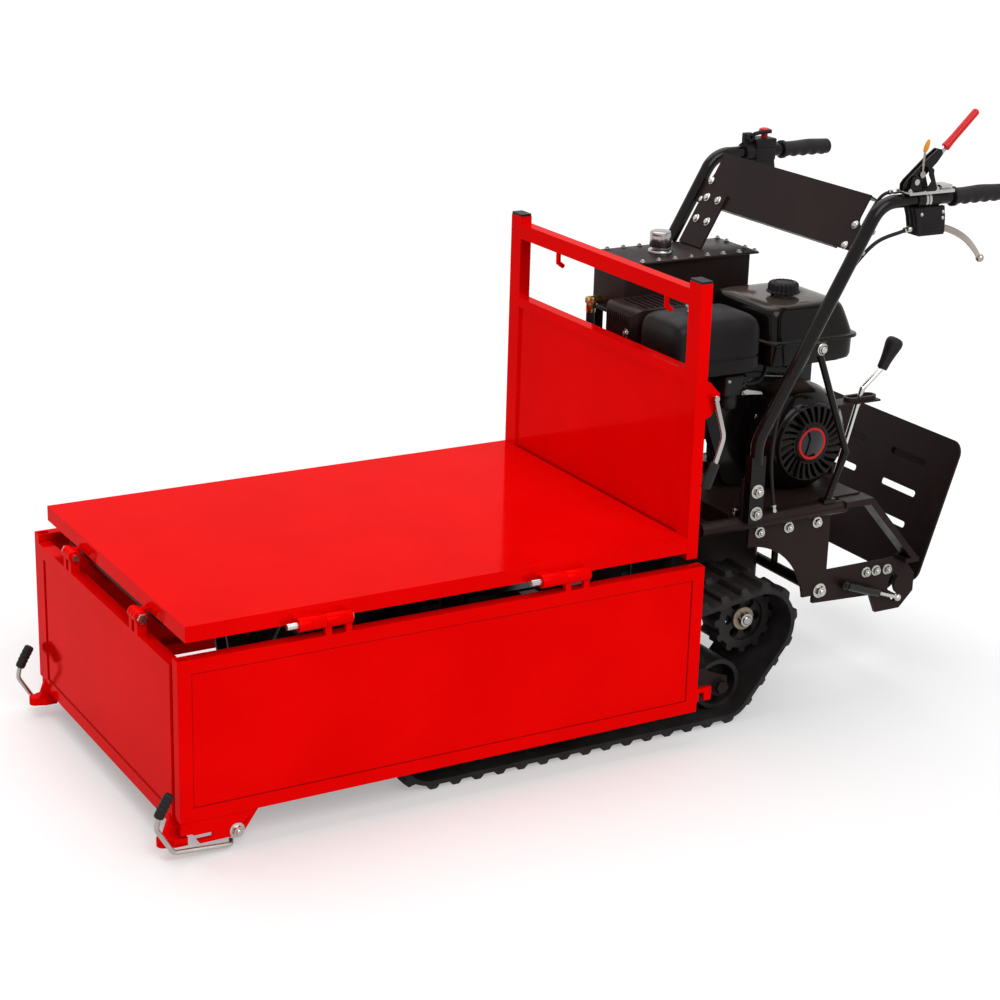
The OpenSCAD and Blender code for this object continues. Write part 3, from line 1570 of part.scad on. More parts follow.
slot_len = 114;
slot_w = 14;
module foot_platform() {
  x0 = -platform_off - platform_t;
  color(black)
    platform_frame()
      difference() {
        union() {
          translate([x0, 0, platform_h / 2])
            rotate([90, 0, 90])
              linear_extrude(height = platform_t) round_rect(platform_w, platform_h, 30);
          both_sides() {
            block(x0, 0, arm_y, arm_y + 8, -12, 60);
            pin_y(0, 0, arm_y - 6, bracket_y - gap - 1, 16);
          }
          rotate([0, platform_lean, 0])
            both_sides() {
              pin_y(strut_head_x - hinge_line_x, strut_head_z - hinge_line_z, ear_y, ear_y + 7, 10);
              pin_y(strut_head_x - hinge_line_x, strut_head_z - hinge_line_z, ear_y, strut_y - 11, stud_r);
              plate_y([[-4, -14], [8, 12], [strut_head_x - hinge_line_x + 7, strut_head_z - hinge_line_z + 7],
                [strut_head_x - hinge_line_x - 7, strut_head_z - hinge_line_z - 7]], ear_y, ear_y + 7);
            }
        }
        for (r = [0:2], c = [-1, 1])
          translate([x0 - 1, c * 101, platform_h - 70 * (r + 1)])
            rotate([90, 0, 90])
              linear_extrude(height = platform_t + 2) round_rect(slot_len, slot_w, 6);
        both_sides()
          pin_y(0, 0, arm_y - 7, bracket_y, 8 + run_fit);
      }
}

strut_len = norm([strut_head_x - strut_x, strut_head_z - strut_z]);
module strut_frame() {
  translate([strut_x, 0, strut_z])
    rotate([0, atan2(strut_head_x - strut_x, strut_head_z - strut_z), 0]) children();
}

module strut_barrel() {
  y = strut_y;
  color(dark)
    strut_frame()
      translate([0, y, 0])
        difference() {
          union() {
            rotate([-90, 0, 0]) translate([0, 0, -6]) cylinder(h = 12, r = 9);
            translate([0, 0, 8]) cylinder(h = 88, r = 9);
          }
          rotate([-90, 0, 0]) translate([0, 0, -10]) cylinder(h = 20, r = 5 + run_fit);
          translate([0, 0, 30]) cylinder(h = 80, r = 4 + run_fit);
        }
}

module strut_rod() {
  color(chrome)
    strut_frame()
      translate([0, strut_y, 0]) {
        translate([0, 0, 50]) cylinder(h = strut_len - 50, r = 4);
        translate([0, 0, strut_len]) sphere(r = 8);
      }
}

deck_sheet();
deck_frame();
headboard();
post_caps();
hinge_pins();
side_panel_left();
side_panel_right();
front_panel();
corner_latch_left();
corner_latch_right();
bed_latch_left();
bed_latch_right();
chassis_frame();
side_rails();
side_plates();
track_beams();
gearbox();
frame_bolts();
track_belt_left();
track_belt_right();
sprocket_left();
sprocket_right();
front_idler_left();
front_idler_right();
rear_roller_left();
rear_roller_right();
mid_roller_left();
mid_roller_right();
crankcase();
recoil_cover();
fuel_tank();
fuel_cap();
air_cleaner();
muffler();
drive_pulley();
gearbox_pulley();
drive_belt();
oil_tank();
oil_tank_lid();
filler_cap();
oil_hose();
ram_barrel();
ram_rod();
handlebars();
cross_panel();
brace_rods();
handle_grips();
control_housings();
clutch_lever();
lock_tab();
steering_lever_left();
steering_lever_right();
throttle_lever();
stop_button();
gear_lever();
gear_knob();
control_cables();
foot_platform();
strut_barrel();
strut_rod();
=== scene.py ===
# %% [markdown]
# # A tracked power carrier
# A flat red bed tips forward over two rubber tracks. Behind it sit a petrol engine, an oil tank and the
# handlebars that the operator walks with. The CAD solids are the frame: this lesson dresses them with
# finishes, and swaps the soft, bent and moulded pieces for finer surfaces that are worked out with numpy.

# %% load the frame
import math

import bmesh
import bpy
import numpy as np
from mathutils import Matrix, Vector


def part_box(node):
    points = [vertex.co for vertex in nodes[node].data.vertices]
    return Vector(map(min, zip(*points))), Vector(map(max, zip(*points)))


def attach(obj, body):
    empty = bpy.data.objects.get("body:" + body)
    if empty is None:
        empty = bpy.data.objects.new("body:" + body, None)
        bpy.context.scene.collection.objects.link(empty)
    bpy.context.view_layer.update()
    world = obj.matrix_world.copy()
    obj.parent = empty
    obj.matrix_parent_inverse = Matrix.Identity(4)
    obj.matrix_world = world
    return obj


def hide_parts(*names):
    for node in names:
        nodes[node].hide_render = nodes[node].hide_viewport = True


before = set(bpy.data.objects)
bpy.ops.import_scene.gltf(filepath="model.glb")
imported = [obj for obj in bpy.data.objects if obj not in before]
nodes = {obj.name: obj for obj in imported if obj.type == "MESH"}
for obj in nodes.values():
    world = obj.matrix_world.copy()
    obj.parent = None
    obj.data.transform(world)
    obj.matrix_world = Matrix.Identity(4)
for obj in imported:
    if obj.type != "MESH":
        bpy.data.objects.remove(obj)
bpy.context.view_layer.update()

# %% [markdown]
# ## Where things are
# The source measures the front pieces back from the deck's front edge and the rear pieces back from its rear
# edge. Small functions repeat that here, from millimetres to metres, so a place reads as it does there.
# Positive x points ahead, positive y to the near side and z up.

# %% places
DECK_FRONT, DECK_REAR = 0.860, -0.170


def fx(d):
    """x of a point d millimetres behind the deck's front edge."""
    return DECK_FRONT - d / 1000


def rx(d):
    """x of a point d millimetres behind the deck's rear edge."""
    return DECK_REAR - d / 1000


def mm(points):
    """Millimetre points in metres."""
    return np.asarray(points, float) / 1000


ALONG, ACROSS, UP = (1, 0, 0), (0, 1, 0), (0, 0, 1)
SIDES = (("left", 1), ("right", -1))
HANDLE_Y, HANDLE_Z = 0.283, 1.033
CRANK = np.array([rx(400), 0.0, 0.527])
SIDE_Z = 0.404
print("crank axis at", CRANK.round(3))

# %% [markdown]
# ## Camera
# The photograph was solved for its camera first: a long lens, a little above the deck, looking back along the
# near side. The camera's axes are written as three vectors, because a small roll is easier to add that way
# than with angles.

# %% camera
def placed(x, y, z, at=(0, 0, 0)):
    """A matrix with the axes x, y and z as its columns, and the place as the last."""
    return Matrix([(x[i], y[i], z[i], at[i]) for i in range(3)] + [(0, 0, 0, 1)])


EYE = (2.196, 3.675, 1.878)
yaw, pitch, roll = np.radians([30.36, 18.76, 1.69])
ahead = np.array([-math.sin(yaw) * math.cos(pitch), -math.cos(yaw) * math.cos(pitch), -math.sin(pitch)])
right = np.array([-math.cos(yaw), math.sin(yaw), 0.0])
upward = np.cross(right, ahead)
right, upward = (
    math.cos(roll) * right + math.sin(roll) * upward,
    math.cos(roll) * upward - math.sin(roll) * right,
)
camera = bpy.data.objects.new("camera", bpy.data.cameras.new("camera"))
bpy.context.scene.collection.objects.link(camera)
camera.matrix_world = placed(right, upward, -ahead, EYE)
camera.data.lens = 81.2
camera.data.sensor_width = 36
bpy.context.scene.camera = camera
print("camera at", tuple(round(v, 3) for v in camera.location))

# %% [markdown]
# ## Studio
# The product stands on white. The floor is a pale matt plane that takes the shadow, and a little of its own
# light, seen only by the camera, by reflections and through clear materials, lifts it to white. One wide
# softbox hangs high behind the machine, so its shadow falls towards the viewer, and one stands lower on the
# near side. A sun lamp with a large angle does that anywhere in the scene, and the world fills the shadows.

# %% floor, world and lamps
FILL, WHITE = 0.36, 1.0
FLOOR_HALF, FLOOR_GREY, FLOOR_GLOW = 14.0, 0.62, 0.33


def seen_ray(tree):
    """1 for rays of the camera, of reflections and of clear materials, and 0 for the light itself."""
    path = tree.nodes.new("ShaderNodeLightPath")
    both = tree.nodes.new("ShaderNodeMath")
    both.operation = "MAXIMUM"
    tree.links.new(path.outputs["Is Camera Ray"], both.inputs[0])
    tree.links.new(path.outputs["Is Glossy Ray"], both.inputs[1])
    last = tree.nodes.new("ShaderNodeMath")
    last.operation = "MAXIMUM"
    tree.links.new(both.outputs[0], last.inputs[0])
    tree.links.new(path.outputs["Is Transmission Ray"], last.inputs[1])
    return last.outputs[0]


def make_world():
    """White where it is seen, and a soft even light elsewhere."""
    world = bpy.data.worlds.new("studio")
    world.use_nodes = True
    tree = world.node_tree
    back = tree.nodes["Background"]
    level = tree.nodes.new("ShaderNodeMapRange")
    tree.links.new(seen_ray(tree), level.inputs["Value"])
    level.inputs["To Min"].default_value = FILL
    level.inputs["To Max"].default_value = WHITE
    tree.links.new(level.outputs[0], back.inputs["Strength"])
    back.inputs["Color"].default_value = (1, 1, 1, 1)
    bpy.context.scene.world = world


def make_floor():
    """A matt plane with a faint light of its own for seen rays."""
    mesh = bpy.data.meshes.new("floor")
    h = FLOOR_HALF
    mesh.from_pydata([(-h, -h, 0), (h, -h, 0), (h, h, 0), (-h, h, 0)], [], [(0, 1, 2, 3)])
    floor = bpy.data.objects.new("floor", mesh)
    bpy.context.scene.collection.objects.link(floor)
    mat = bpy.data.materials.new("pale_floor")
    mat.use_nodes = True
    tree = mat.node_tree
    tree.nodes.clear()
    matt = tree.nodes.new("ShaderNodeBsdfDiffuse")
    matt.inputs["Color"].default_value = (FLOOR_GREY, FLOOR_GREY, FLOOR_GREY, 1)
    glow = tree.nodes.new("ShaderNodeEmission")
    glow.inputs["Color"].default_value = (1, 1, 1, 1)
    level = tree.nodes.new("ShaderNodeMapRange")
    level.inputs["To Max"].default_value = FLOOR_GLOW
    tree.links.new(seen_ray(tree), level.inputs["Value"])
    tree.links.new(level.outputs[0], glow.inputs["Strength"])
    both = tree.nodes.new("ShaderNodeAddShader")
    out = tree.nodes.new("ShaderNodeOutputMaterial")
    tree.links.new(matt.outputs[0], both.inputs[0])
    tree.links.new(glow.outputs[0], both.inputs[1])
    tree.links.new(both.outputs[0], out.inputs["Surface"])
    mesh.materials.append(mat)


def soft_sun(toward, width, strength):
    """A sun as wide as a large softbox; toward points from the object to the lamp, which shines along its own
    -z."""
    lamp = bpy.data.lights.new("softbox", "SUN")
    lamp.angle = math.radians(width)
    lamp.energy = strength
    holder = bpy.data.objects.new("softbox", lamp)
    bpy.context.scene.collection.objects.link(holder)
    z = np.array(toward, float) / np.linalg.norm(toward)
    x = np.cross([0, 1, 0], z)
    x /= np.linalg.norm(x)
    y = np.cross(z, x)
    holder.matrix_world = placed(x, y, z)


make_world()
make_floor()
soft_sun((0.02, 0.76, 0.65), 40, 1.6)
soft_sun((-0.02, -0.36, 0.93), 60, 1.7)
bpy.context.scene.view_settings.view_transform = "Standard"
print("studio: world, floor and two softboxes")

# %% [markdown]
# ## Finishes
# Every finish is one shader with three layers of procedural noise on Object coordinates: a broad one that
# drifts the colour, a middle one that breaks up the gloss, and a fine one that bumps the surface. Enamel gets
# a faint orange peel, powder coat a grain, rubber dust and moulding marks, plated steel a patchy haze.

# %% finish maker
DRIFT, PATCH, DUST, GRAIN_DETAIL = (5.0, 4.0), (37.0, 5.0), (22.0, 6.0), 3.0


def noise(tree, where, scale, detail):
    """A noise texture on Object coordinates."""
    tex = tree.nodes.new("ShaderNodeTexNoise")
    tex.inputs["Scale"].default_value = scale
    tex.inputs["Detail"].default_value = detail
    tree.links.new(where, tex.inputs["Vector"])
    return tex.outputs["Fac"]


def ramp(tree, value, low, high, a, b):
    """Maps a value between two limits to two numbers."""
    node = tree.nodes.new("ShaderNodeMapRange")
    node.inputs["From Min"].default_value = low
    node.inputs["From Max"].default_value = high
    node.inputs["To Min"].default_value = a
    node.inputs["To Max"].default_value = b
    tree.links.new(value, node.inputs["Value"])
    return node.outputs[0]


def mixed(tree, first, second, share):
    """A colour that goes from first, a colour or a socket, to the colour second as share goes from 0 to 1."""
    node = tree.nodes.new("ShaderNodeMix")
    node.data_type = "RGBA"
    if isinstance(first, tuple):
        node.inputs["A"].default_value = (*first, 1)
    else:
        tree.links.new(first, node.inputs["A"])
    node.inputs["B"].default_value = (*second, 1)
    tree.links.new(share, node.inputs["Factor"])
    return node.outputs["Result"]


def finish(name, dark, light, rough, grain, metal=0.0, gloss=0.5, tint=None, dust=None, painted_top_reflection=None):
    """dark and light: the two colours that drift into each other; rough: (least, most);
    grain: (scale, height in metres) of the fine bump; tint: colour of the reflections of a clear enamel;
    dust: (colour, share) of a patchy film; the last argument is a painted reflection: (colour, share) of a
    lighter colour painted only on faces that look up."""
    mat = bpy.data.materials.new(name)
    mat.use_nodes = True
    tree = mat.node_tree
    skin = tree.nodes["Principled BSDF"]
    where = tree.nodes.new("ShaderNodeTexCoord").outputs["Object"]
    colour = mixed(tree, dark, light, ramp(tree, noise(tree, where, *DRIFT), 0.35, 0.65, 0, 1))
    if dust:
        colour = mixed(tree, colour, dust[0], ramp(tree, noise(tree, where, *DUST), 0.45, 0.75, 0, dust[1]))
    # painted reflection: faces whose normal points up get a lighter colour mixed into the base colour
    if painted_top_reflection:
        facing = tree.nodes.new("ShaderNodeSeparateXYZ")
        tree.links.new(tree.nodes.new("ShaderNodeNewGeometry").outputs["Normal"], facing.inputs[0])
        colour = mixed(tree, colour, painted_top_reflection[0], ramp(tree, facing.outputs["Z"], 0.82, 0.99, 0, painted_top_reflection[1]))
    tree.links.new(colour, skin.inputs["Base Color"])
    tree.links.new(ramp(tree, noise(tree, where, *PATCH), 0.3, 0.7, *rough), skin.inputs["Roughness"])
    bump = tree.nodes.new("ShaderNodeBump")
    bump.inputs["Strength"].default_value = 1.0
    bump.inputs["Distance"].default_value = grain[1]
    tree.links.new(noise(tree, where, grain[0], GRAIN_DETAIL), bump.inputs["Height"])
    tree.links.new(bump.outputs[0], skin.inputs["Normal"])
    skin.inputs["Metallic"].default_value = metal
    skin.inputs["Specular IOR Level"].default_value = gloss
    if tint:
        skin.inputs["Specular Tint"].default_value = (*tint, 1)
    return mat


red_enamel = finish("red_enamel", (0.77, 0.0010, 0.0010), (0.83, 0.0016, 0.0014), (0.06, 0.13),
                    (420, 0.000012), metal=0.30, gloss=0.01, tint=(1.0, 0.02, 0.015))
black_coat = finish("black_coat", (0.0160, 0.0086, 0.0082), (0.0225, 0.0122, 0.0118), (0.28, 0.42),
                    (900, 0.00005), gloss=0.08)
bar_enamel = finish("bar_enamel", (0.0056, 0.0034, 0.0034), (0.0086, 0.0054, 0.0052), (0.08, 0.16),
                    (220, 0.00003), gloss=0.17)
# painted reflection: the upward faces of this lacquer are painted a lighter warm brown
tank_lacquer = finish("tank_lacquer", (0.0042, 0.0032, 0.0028), (0.0066, 0.0050, 0.0044), (0.07, 0.16),
                      (140, 0.00003), gloss=0.15, painted_top_reflection=((0.095, 0.066, 0.052), 0.55))
moulded_black = finish("moulded_black", (0.0086, 0.0072, 0.0074), (0.0130, 0.0112, 0.0114), (0.36, 0.52),
                       (1500, 0.00008), gloss=0.13)
cast_black = finish("cast_black", (0.0042, 0.0040, 0.0040), (0.0076, 0.0070, 0.0068), (0.24, 0.40),
                    (420, 0.00016), gloss=0.28)
track_rubber = finish("track_rubber", (0.0090, 0.0078, 0.0078), (0.0160, 0.0136, 0.0134), (0.55, 0.78),
                      (700, 0.00025), gloss=0.2, dust=((0.040, 0.035, 0.034), 0.45))
grip_rubber = finish("grip_rubber", (0.0082, 0.0066, 0.0066), (0.0136, 0.0112, 0.0112), (0.45, 0.65),
                     (1300, 0.00016), gloss=0.20)
wheel_iron = finish("wheel_iron", (0.0070, 0.0064, 0.0062), (0.0140, 0.0124, 0.0116), (0.42, 0.60),
                    (350, 0.00025), gloss=0.25, dust=((0.045, 0.041, 0.037), 0.30))
zinc_plate = finish("zinc_plate", (0.36, 0.35, 0.33), (0.56, 0.55, 0.52), (0.18, 0.34), (260, 0.00010),
                    metal=1.0)
bright_chrome = finish("bright_chrome", (0.36, 0.35, 0.34), (0.60, 0.59, 0.57), (0.08, 0.20), (120, 0.00004),
                       metal=1.0)
lever_steel = finish("lever_steel", (0.20, 0.17, 0.15), (0.46, 0.41, 0.37), (0.10, 0.22), (240, 0.00008),
                     metal=1.0)
yellow_brass = finish("yellow_brass", (0.42, 0.26, 0.08), (0.60, 0.40, 0.15), (0.20, 0.34), (300, 0.00008),
                      metal=1.0)
lever_red = finish("lever_red", (0.62, 0.004, 0.006), (0.70, 0.006, 0.009), (0.28, 0.42), (700, 0.00008),
                   gloss=0.25)
tab_orange = finish("tab_orange", (0.74, 0.26, 0.01), (0.84, 0.33, 0.015), (0.32, 0.48), (700, 0.00008),
                    gloss=0.25)
washer_tan = finish("washer_tan", (0.30, 0.25, 0.18), (0.44, 0.38, 0.28), (0.32, 0.50), (320, 0.00015),
                    metal=0.6)
badge_black = finish("badge_black", (0.0035, 0.0030, 0.0030), (0.0055, 0.0045, 0.0045), (0.08, 0.16),
                     (90, 0.00002), gloss=0.40)
print("finishes:", len(bpy.data.materials))

# %% [markdown]
# ## Finishes on the frame's own solids
# Most plates, tubes and panels are right as they come from the CAD. They only need a finish, and a small
# bevel so that folded sheet and tube edges catch the light. A CAD mesh is loose triangles, so it is welded
# first.

# %% dress the solids
SKINS = {
    "red_enamel": "deck_sheet headboard side_panel_left side_panel_right front_panel",
    "black_coat": "deck_frame chassis_frame side_rails side_plates track_beams oil_tank oil_tank_lid"
                  " cross_panel foot_platform muffler gearbox control_housings",
    "bar_enamel": "handlebars brace_rods",
    "cast_black": "crankcase recoil_cover ram_barrel strut_barrel drive_pulley gearbox_pulley",
    "tank_lacquer": "fuel_tank air_cleaner",
    "moulded_black": "post_caps fuel_cap gear_knob throttle_lever",
    "wheel_iron": "sprocket_left sprocket_right front_idler_left front_idler_right rear_roller_left"
                  " rear_roller_right mid_roller_left mid_roller_right",
    "track_rubber": "track_belt_left track_belt_right drive_belt",
    "grip_rubber": "handle_grips control_cables oil_hose",
    "zinc_plate": "hinge_pins frame_bolts strut_rod ram_rod",
    "bright_chrome": "filler_cap steering_lever_left steering_lever_right corner_latch_left"
                     " corner_latch_right bed_latch_left bed_latch_right gear_lever",
    "lever_red": "clutch_lever stop_button",
    "tab_orange": "lock_tab",
}
EDGES = {
    "deck_sheet": 2.0, "headboard": 1.6, "side_panel_left": 1.4, "side_panel_right": 1.4, "front_panel": 1.4,
    "side_plates": 0.8, "side_rails": 1.2, "oil_tank_lid": 0.8, "cross_panel": 0.8, "foot_platform": 1.0,
    "oil_tank": 1.0, "chassis_frame": 1.0, "muffler": 1.0, "post_caps": 0.8, "control_housings": 1.0,
}
for skin, names in SKINS.items():
    for name in names.split():
        solid = nodes[name]
        solid.data.materials.clear()
        solid.data.materials.append(bpy.data.materials[skin])
for name, width in EDGES.items():
    weld = nodes[name].modifiers.new("weld", "WELD")
    weld.merge_threshold = 0.00002
    edge = nodes[name].modifiers.new("edge", "BEVEL")
    edge.width = width / 1000
    edge.segments = 2
    edge.limit_method = "ANGLE"
    edge.angle_limit = math.radians(40)
    edge.harden_normals = False
print("dressed", sum(len(n.split()) for n in SKINS.values()), "solids,", len(EDGES), "with soft edges")

# %% [markdown]
# ## Surfaces from arrays
# A new piece is one or more grids of points. Each grid is a function of two parameters, worked out for all
# its points at once, and closed round one or both directions. A tube is a circle carried along a path, a
# turned piece is a profile carried round an axis, and a moulded box is a rounded outline that shrinks from
# row to row.

# %% grids to meshes
SHARP = math.radians(38)


def grid(points, loop=False):
    """One sheet of a piece: points[u, v], whose columns join into rings. A loop joins its last ring to its
    first."""
    return {"p": np.asarray(points, float), "loop": loop}


def piece(name, sheets, mat, body, replaces=()):
    """Joins sheets into one mesh, with quads between neighbouring rings and one face on each open end."""
    verts, faces, base = [], [], 0
    for s in sheets:
        p = s["p"]
        nu, nv = p.shape[:2]
        ids = base + np.arange(nu * nv).reshape(nu, nv)
        u = np.arange(nu if s["loop"] else nu - 1)
        uu, vv = np.meshgrid(u, np.arange(nv), indexing="ij")
        un, vn = (uu + 1) % nu, (vv + 1) % nv
        quads = np.stack([ids[uu, vv], ids[uu, vn], ids[un, vn], ids[un, vv]], -1).reshape(-1, 4)
        faces += quads.tolist()
        if not s["loop"]:
            faces += [ids[0, ::-1].tolist(), ids[-1].tolist()]
        verts.append(p.reshape(-1, 3))
        base += nu * nv
    mesh = bpy.data.meshes.new(name)
    mesh.from_pydata(np.concatenate(verts).tolist(), [], faces)
    mesh.validate()
    fix_normals(mesh)
    mesh.shade_smooth()
    mesh.set_sharp_from_angle(angle=SHARP)
    mesh.materials.append(mat)
    made = bpy.data.objects.new(name, mesh)
    bpy.context.scene.collection.objects.link(made)
    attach(made, body)
    if replaces:
        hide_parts(*replaces)
    return made


def fix_normals(mesh):
    """Turns all faces of each closed sheet outwards."""
    bm = bmesh.new()
    bm.from_mesh(mesh)
    bmesh.ops.recalc_face_normals(bm, faces=bm.faces)
    bm.to_mesh(mesh)
    bm.free()


def unit(v):
    """Vectors of length one along the last axis."""
    return v / np.maximum(np.linalg.norm(v, axis=-1, keepdims=True), 1e-12)


def curve(points, per=8):
    """A smooth path through points: the cubic whose slope at each point is half the step between its
    neighbours."""
    p = np.asarray(points, float)
    q = np.concatenate([p[:1], p, p[-1:]])
    t = (np.arange(per) / per)[None, :, None]
    a, b, c, d = (q[i:len(q) - 3 + i][:, None, :] for i in range(4))
    mid = 0.5 * (2 * b + (c - a) * t + (2 * a - 5 * b + 4 * c - d) * t ** 2 + (3 * b - a - 3 * c + d)
                 * t ** 3)
    return np.concatenate([mid.reshape(-1, 3), p[-1:]])


def bent(points, reach, per=6):
    """A rod's path: straight runs joined by arcs; each corner is a quadratic curve that starts and ends reach
    away."""
    p = np.asarray(points, float)
    t = np.linspace(0, 1, per + 1)[None, :, None]
    back, ahead_ = unit(p[:-2] - p[1:-1])[:, None], unit(p[2:] - p[1:-1])[:, None]
    knee = p[1:-1][:, None]
    r = np.broadcast_to(np.asarray(reach, float).reshape(-1, 1, 1), (len(p) - 2, 1, 1))
    arc = knee + r * (back * (1 - t) ** 2 + ahead_ * t ** 2)
    return np.concatenate([p[:1], arc.reshape(-1, 3), p[-1:]])


def tube(path, radius, sides=14, ref=(0.0, 1.0, 0.03), flat=1.0, groove=0.0):
    """A circle, or an ellipse flat times as high, carried along a path; the ring's axes come from one fixed
    direction. groove draws the ellipse in at the middle of its two flat sides."""
    p = np.asarray(path, float)
    t = unit(np.gradient(p, axis=0))
    side = unit(np.cross(t, np.asarray(ref, float)))
    over = np.cross(t, side)
    a = np.linspace(0, 2 * np.pi, sides, endpoint=False)
    r = np.broadcast_to(np.asarray(radius, float), (len(p),))[:, None, None]
    high = flat * np.sin(a) * (1 - groove * np.abs(np.sin(a)) ** 6)
    ring = np.cos(a)[None, :, None] * side[:, None, :] + high[None, :, None] * over[:, None, :]
    return grid(p[:, None, :] + r * ring)


def turned(profile, origin, axis, sides=32, lobes=0, depth=0.0, hexed=False):
    """A profile of (radius, height) pairs carried round an axis. lobes and depth flute it; hexed makes six
    flats."""
    prof = np.asarray(profile, float)
    z = unit(np.asarray(axis, float))
    x = unit(np.cross(z, [0.3, 0.2, 1.0] if abs(z[2]) < 0.9 else [1.0, 0.0, 0.0]))
    y = np.cross(z, x)
    a = np.linspace(0, 2 * np.pi, sides, endpoint=False)
    r = prof[:, :1] * np.ones_like(a)
    if lobes:
        r = r - depth * prof[:, :1] / prof[:, 0].max() * (0.5 - 0.5 * np.cos(lobes * a)) ** 2
    if hexed:
        flats = prof[:, 0].max() * math.cos(math.pi / 6) / np.cos((a % (math.pi / 3)) - math.pi / 6)
        r = np.minimum(r, flats)
    around = np.cos(a)[None, :, None] * x + np.sin(a)[None, :, None] * y
    p = r[..., None] * around + prof[:, 1][:, None, None] * z
    return grid(np.asarray(origin, float) + p)


def collar(place, axis, inner, r, height, lip, rise, sides):
    """A ring with chamfered rims, each of which steps in by lip over a height of rise."""
    rows = [(inner, 0), (r - lip, 0), (r, rise), (r, height - rise), (r - lip, height), (inner, height)]
    return turned(rows, place, axis, sides)


def moulded(rows, centre, half, power=5.0, sides=64):
    """Rounded outlines stacked in height: each row is (inset, z), and an outline is |x/a|^n + |y/b|^n = 1."""
    rows = np.asarray(rows, float)
    a = np.linspace(0, 2 * np.pi, sides, endpoint=False)
    c, s = np.cos(a), np.sin(a)
    k = (np.abs(c) ** power + np.abs(s) ** power) ** (-1 / power)
    hx = np.maximum(half[0] - rows[:, :1], 0.002)
    hy = np.maximum(half[1] - rows[:, :1], 0.002)
    p = np.stack([centre[0] + hx * k * c, centre[1] + hy * k * s, rows[:, 1:2] + 0 * c], -1)
    return grid(p)


def soft_block(low, high, r, n=4):
    """A box with rounded edges: eight ball corners of radius r, pushed out to the box's corners."""
    low, high = np.asarray(low, float), np.asarray(high, float)
    c, h = (low + high) / 2, (high - low) / 2
    q = np.linspace(0, np.pi / 2, n + 1)
    lat = np.concatenate([q - np.pi / 2, q])
    lat_s = np.repeat([-1.0, 1.0], n + 1)
    lon = np.concatenate([q + k * np.pi / 2 for k in range(4)])
    sx = np.repeat([1.0, -1.0, -1.0, 1.0], n + 1)
    sy = np.repeat([1.0, 1.0, -1.0, -1.0], n + 1)
    d = np.stack(np.broadcast_arrays(np.cos(lat)[:, None] * np.cos(lon), np.cos(lat)[:, None] * np.sin(lon),
                                     np.sin(lat)[:, None]), -1)
    sgn = np.stack(np.broadcast_arrays(sx[None], sy[None], lat_s[:, None]), -1)
    return grid(c + sgn * (h - r) + r * d)


def slab(outline, y0, y1, edge=0.0015):
    """A plate cut from an outline in the XZ plane, between two y values, with a small chamfer round both
    faces."""
    o = np.asarray(outline, float)
    mid = o.mean(0)
    inner = mid + (o - mid) * (1 - edge / np.linalg.norm(o - mid, axis=1, keepdims=True))
    rows = [(inner, y0), (o, y0 + edge), (o, y1 - edge), (inner, y1)]
    return grid(np.stack([np.stack([q[:, 0], np.full(len(q), y), q[:, 1]], -1) for q, y in rows]))


def mirror_sheets(sheets):
    """The same sheets on the other side of the machine."""
    return [dict(s, p=s["p"] * np.array([1.0, -1.0, 1.0])) for s in sheets]


print("surface tools ready")

# %% [markdown]
# ## Bolts
# Plated hexagon bolts hold everything together. One bolt is a turned washer, a head with six flats whose top
# is chamfered, and a short thread end; a list of places makes them all in one mesh.

# %% bolts
def bolt(place, axis, r=0.008, washer=True):
    """Washer, chamfered hexagon head and thread end, standing on a surface at place, along axis."""
    base = 0.0
    sheets = []
    if washer:
        sheets.append(turned([(r * 0.4, 0), (r * 1.32, 0), (r * 1.36, 0.0004), (r * 1.36, 0.0017),
                              (r * 1.30, 0.002), (r * 0.4, 0.002)], place, axis, 24))
        base = 0.0019
    h = base + r * 0.75
    sheets.append(turned([(r * 0.2, base), (r, base), (r, h - r * 0.14), (r * 0.88, h),
                          (r * 0.55, h + 0.0001), (r * 0.5, h - 0.0006), (r * 0.15, h - 0.0006)], place, axis,
                         36, hexed=True))
    sheets.append(turned([(r * 0.1, h - 0.002), (r * 0.48, h - 0.002), (r * 0.48, h + r * 0.22),
                          (r * 0.38, h + r * 0.30), (r * 0.1, h + r * 0.30)], place, axis, 20))
    return sheets


def dome(place, axis, r=0.008):
    """A low round head with a flange."""
    return [turned([(r * 0.2, 0), (r * 1.1, 0), (r * 1.1, r * 0.16), (r * 0.95, r * 0.24),
                    (r * 0.85, r * 0.5), (r * 0.6, r * 0.72), (r * 0.3, r * 0.8), (r * 0.02, r * 0.82)],
                   place, axis, 24)]


def plated(name, sheets, body="chassis"):
    """A zinc-plated piece that stands in for no solid of the frame."""
    return piece(name, sheets, zinc_plate, body)


frame_sheets = []
for side in (1, -1):
    out = (0, side, 0)
    for d in (242, 314, 386):
        frame_sheets += bolt((rx(d), side * 0.256, SIDE_Z - 0.028), out, 0.0085)
    frame_sheets += bolt((rx(405), side * 0.256, 0.224), out, 0.0115)
    for z in (SIDE_Z + 0.029, SIDE_Z + 0.075):
        frame_sheets += bolt((rx(202), side * 0.292, z), out, 0.0105)
    for d, z in ((530, 0.242), (556, 0.242), (586, 0.240)):
        frame_sheets += bolt((rx(d), side * 0.250, z), out, 0.0085)
piece("frame_bolt_heads", frame_sheets, zinc_plate, "chassis", ["frame_bolts"])
print("bolts:", len(frame_sheets), "sheets")

# %% [markdown]
# ## Rubber tracks
# A track is a moulded rubber belt with steel cords inside and two rows of lugs outside, set half a pitch
# apart. It wraps a rear roller, a front idler and the driving sprocket. The belt is one height field: along
# the loop runs s, across it runs t, and each lug is a smooth bump with sloped sides, so the loop stays one
# closed skin.

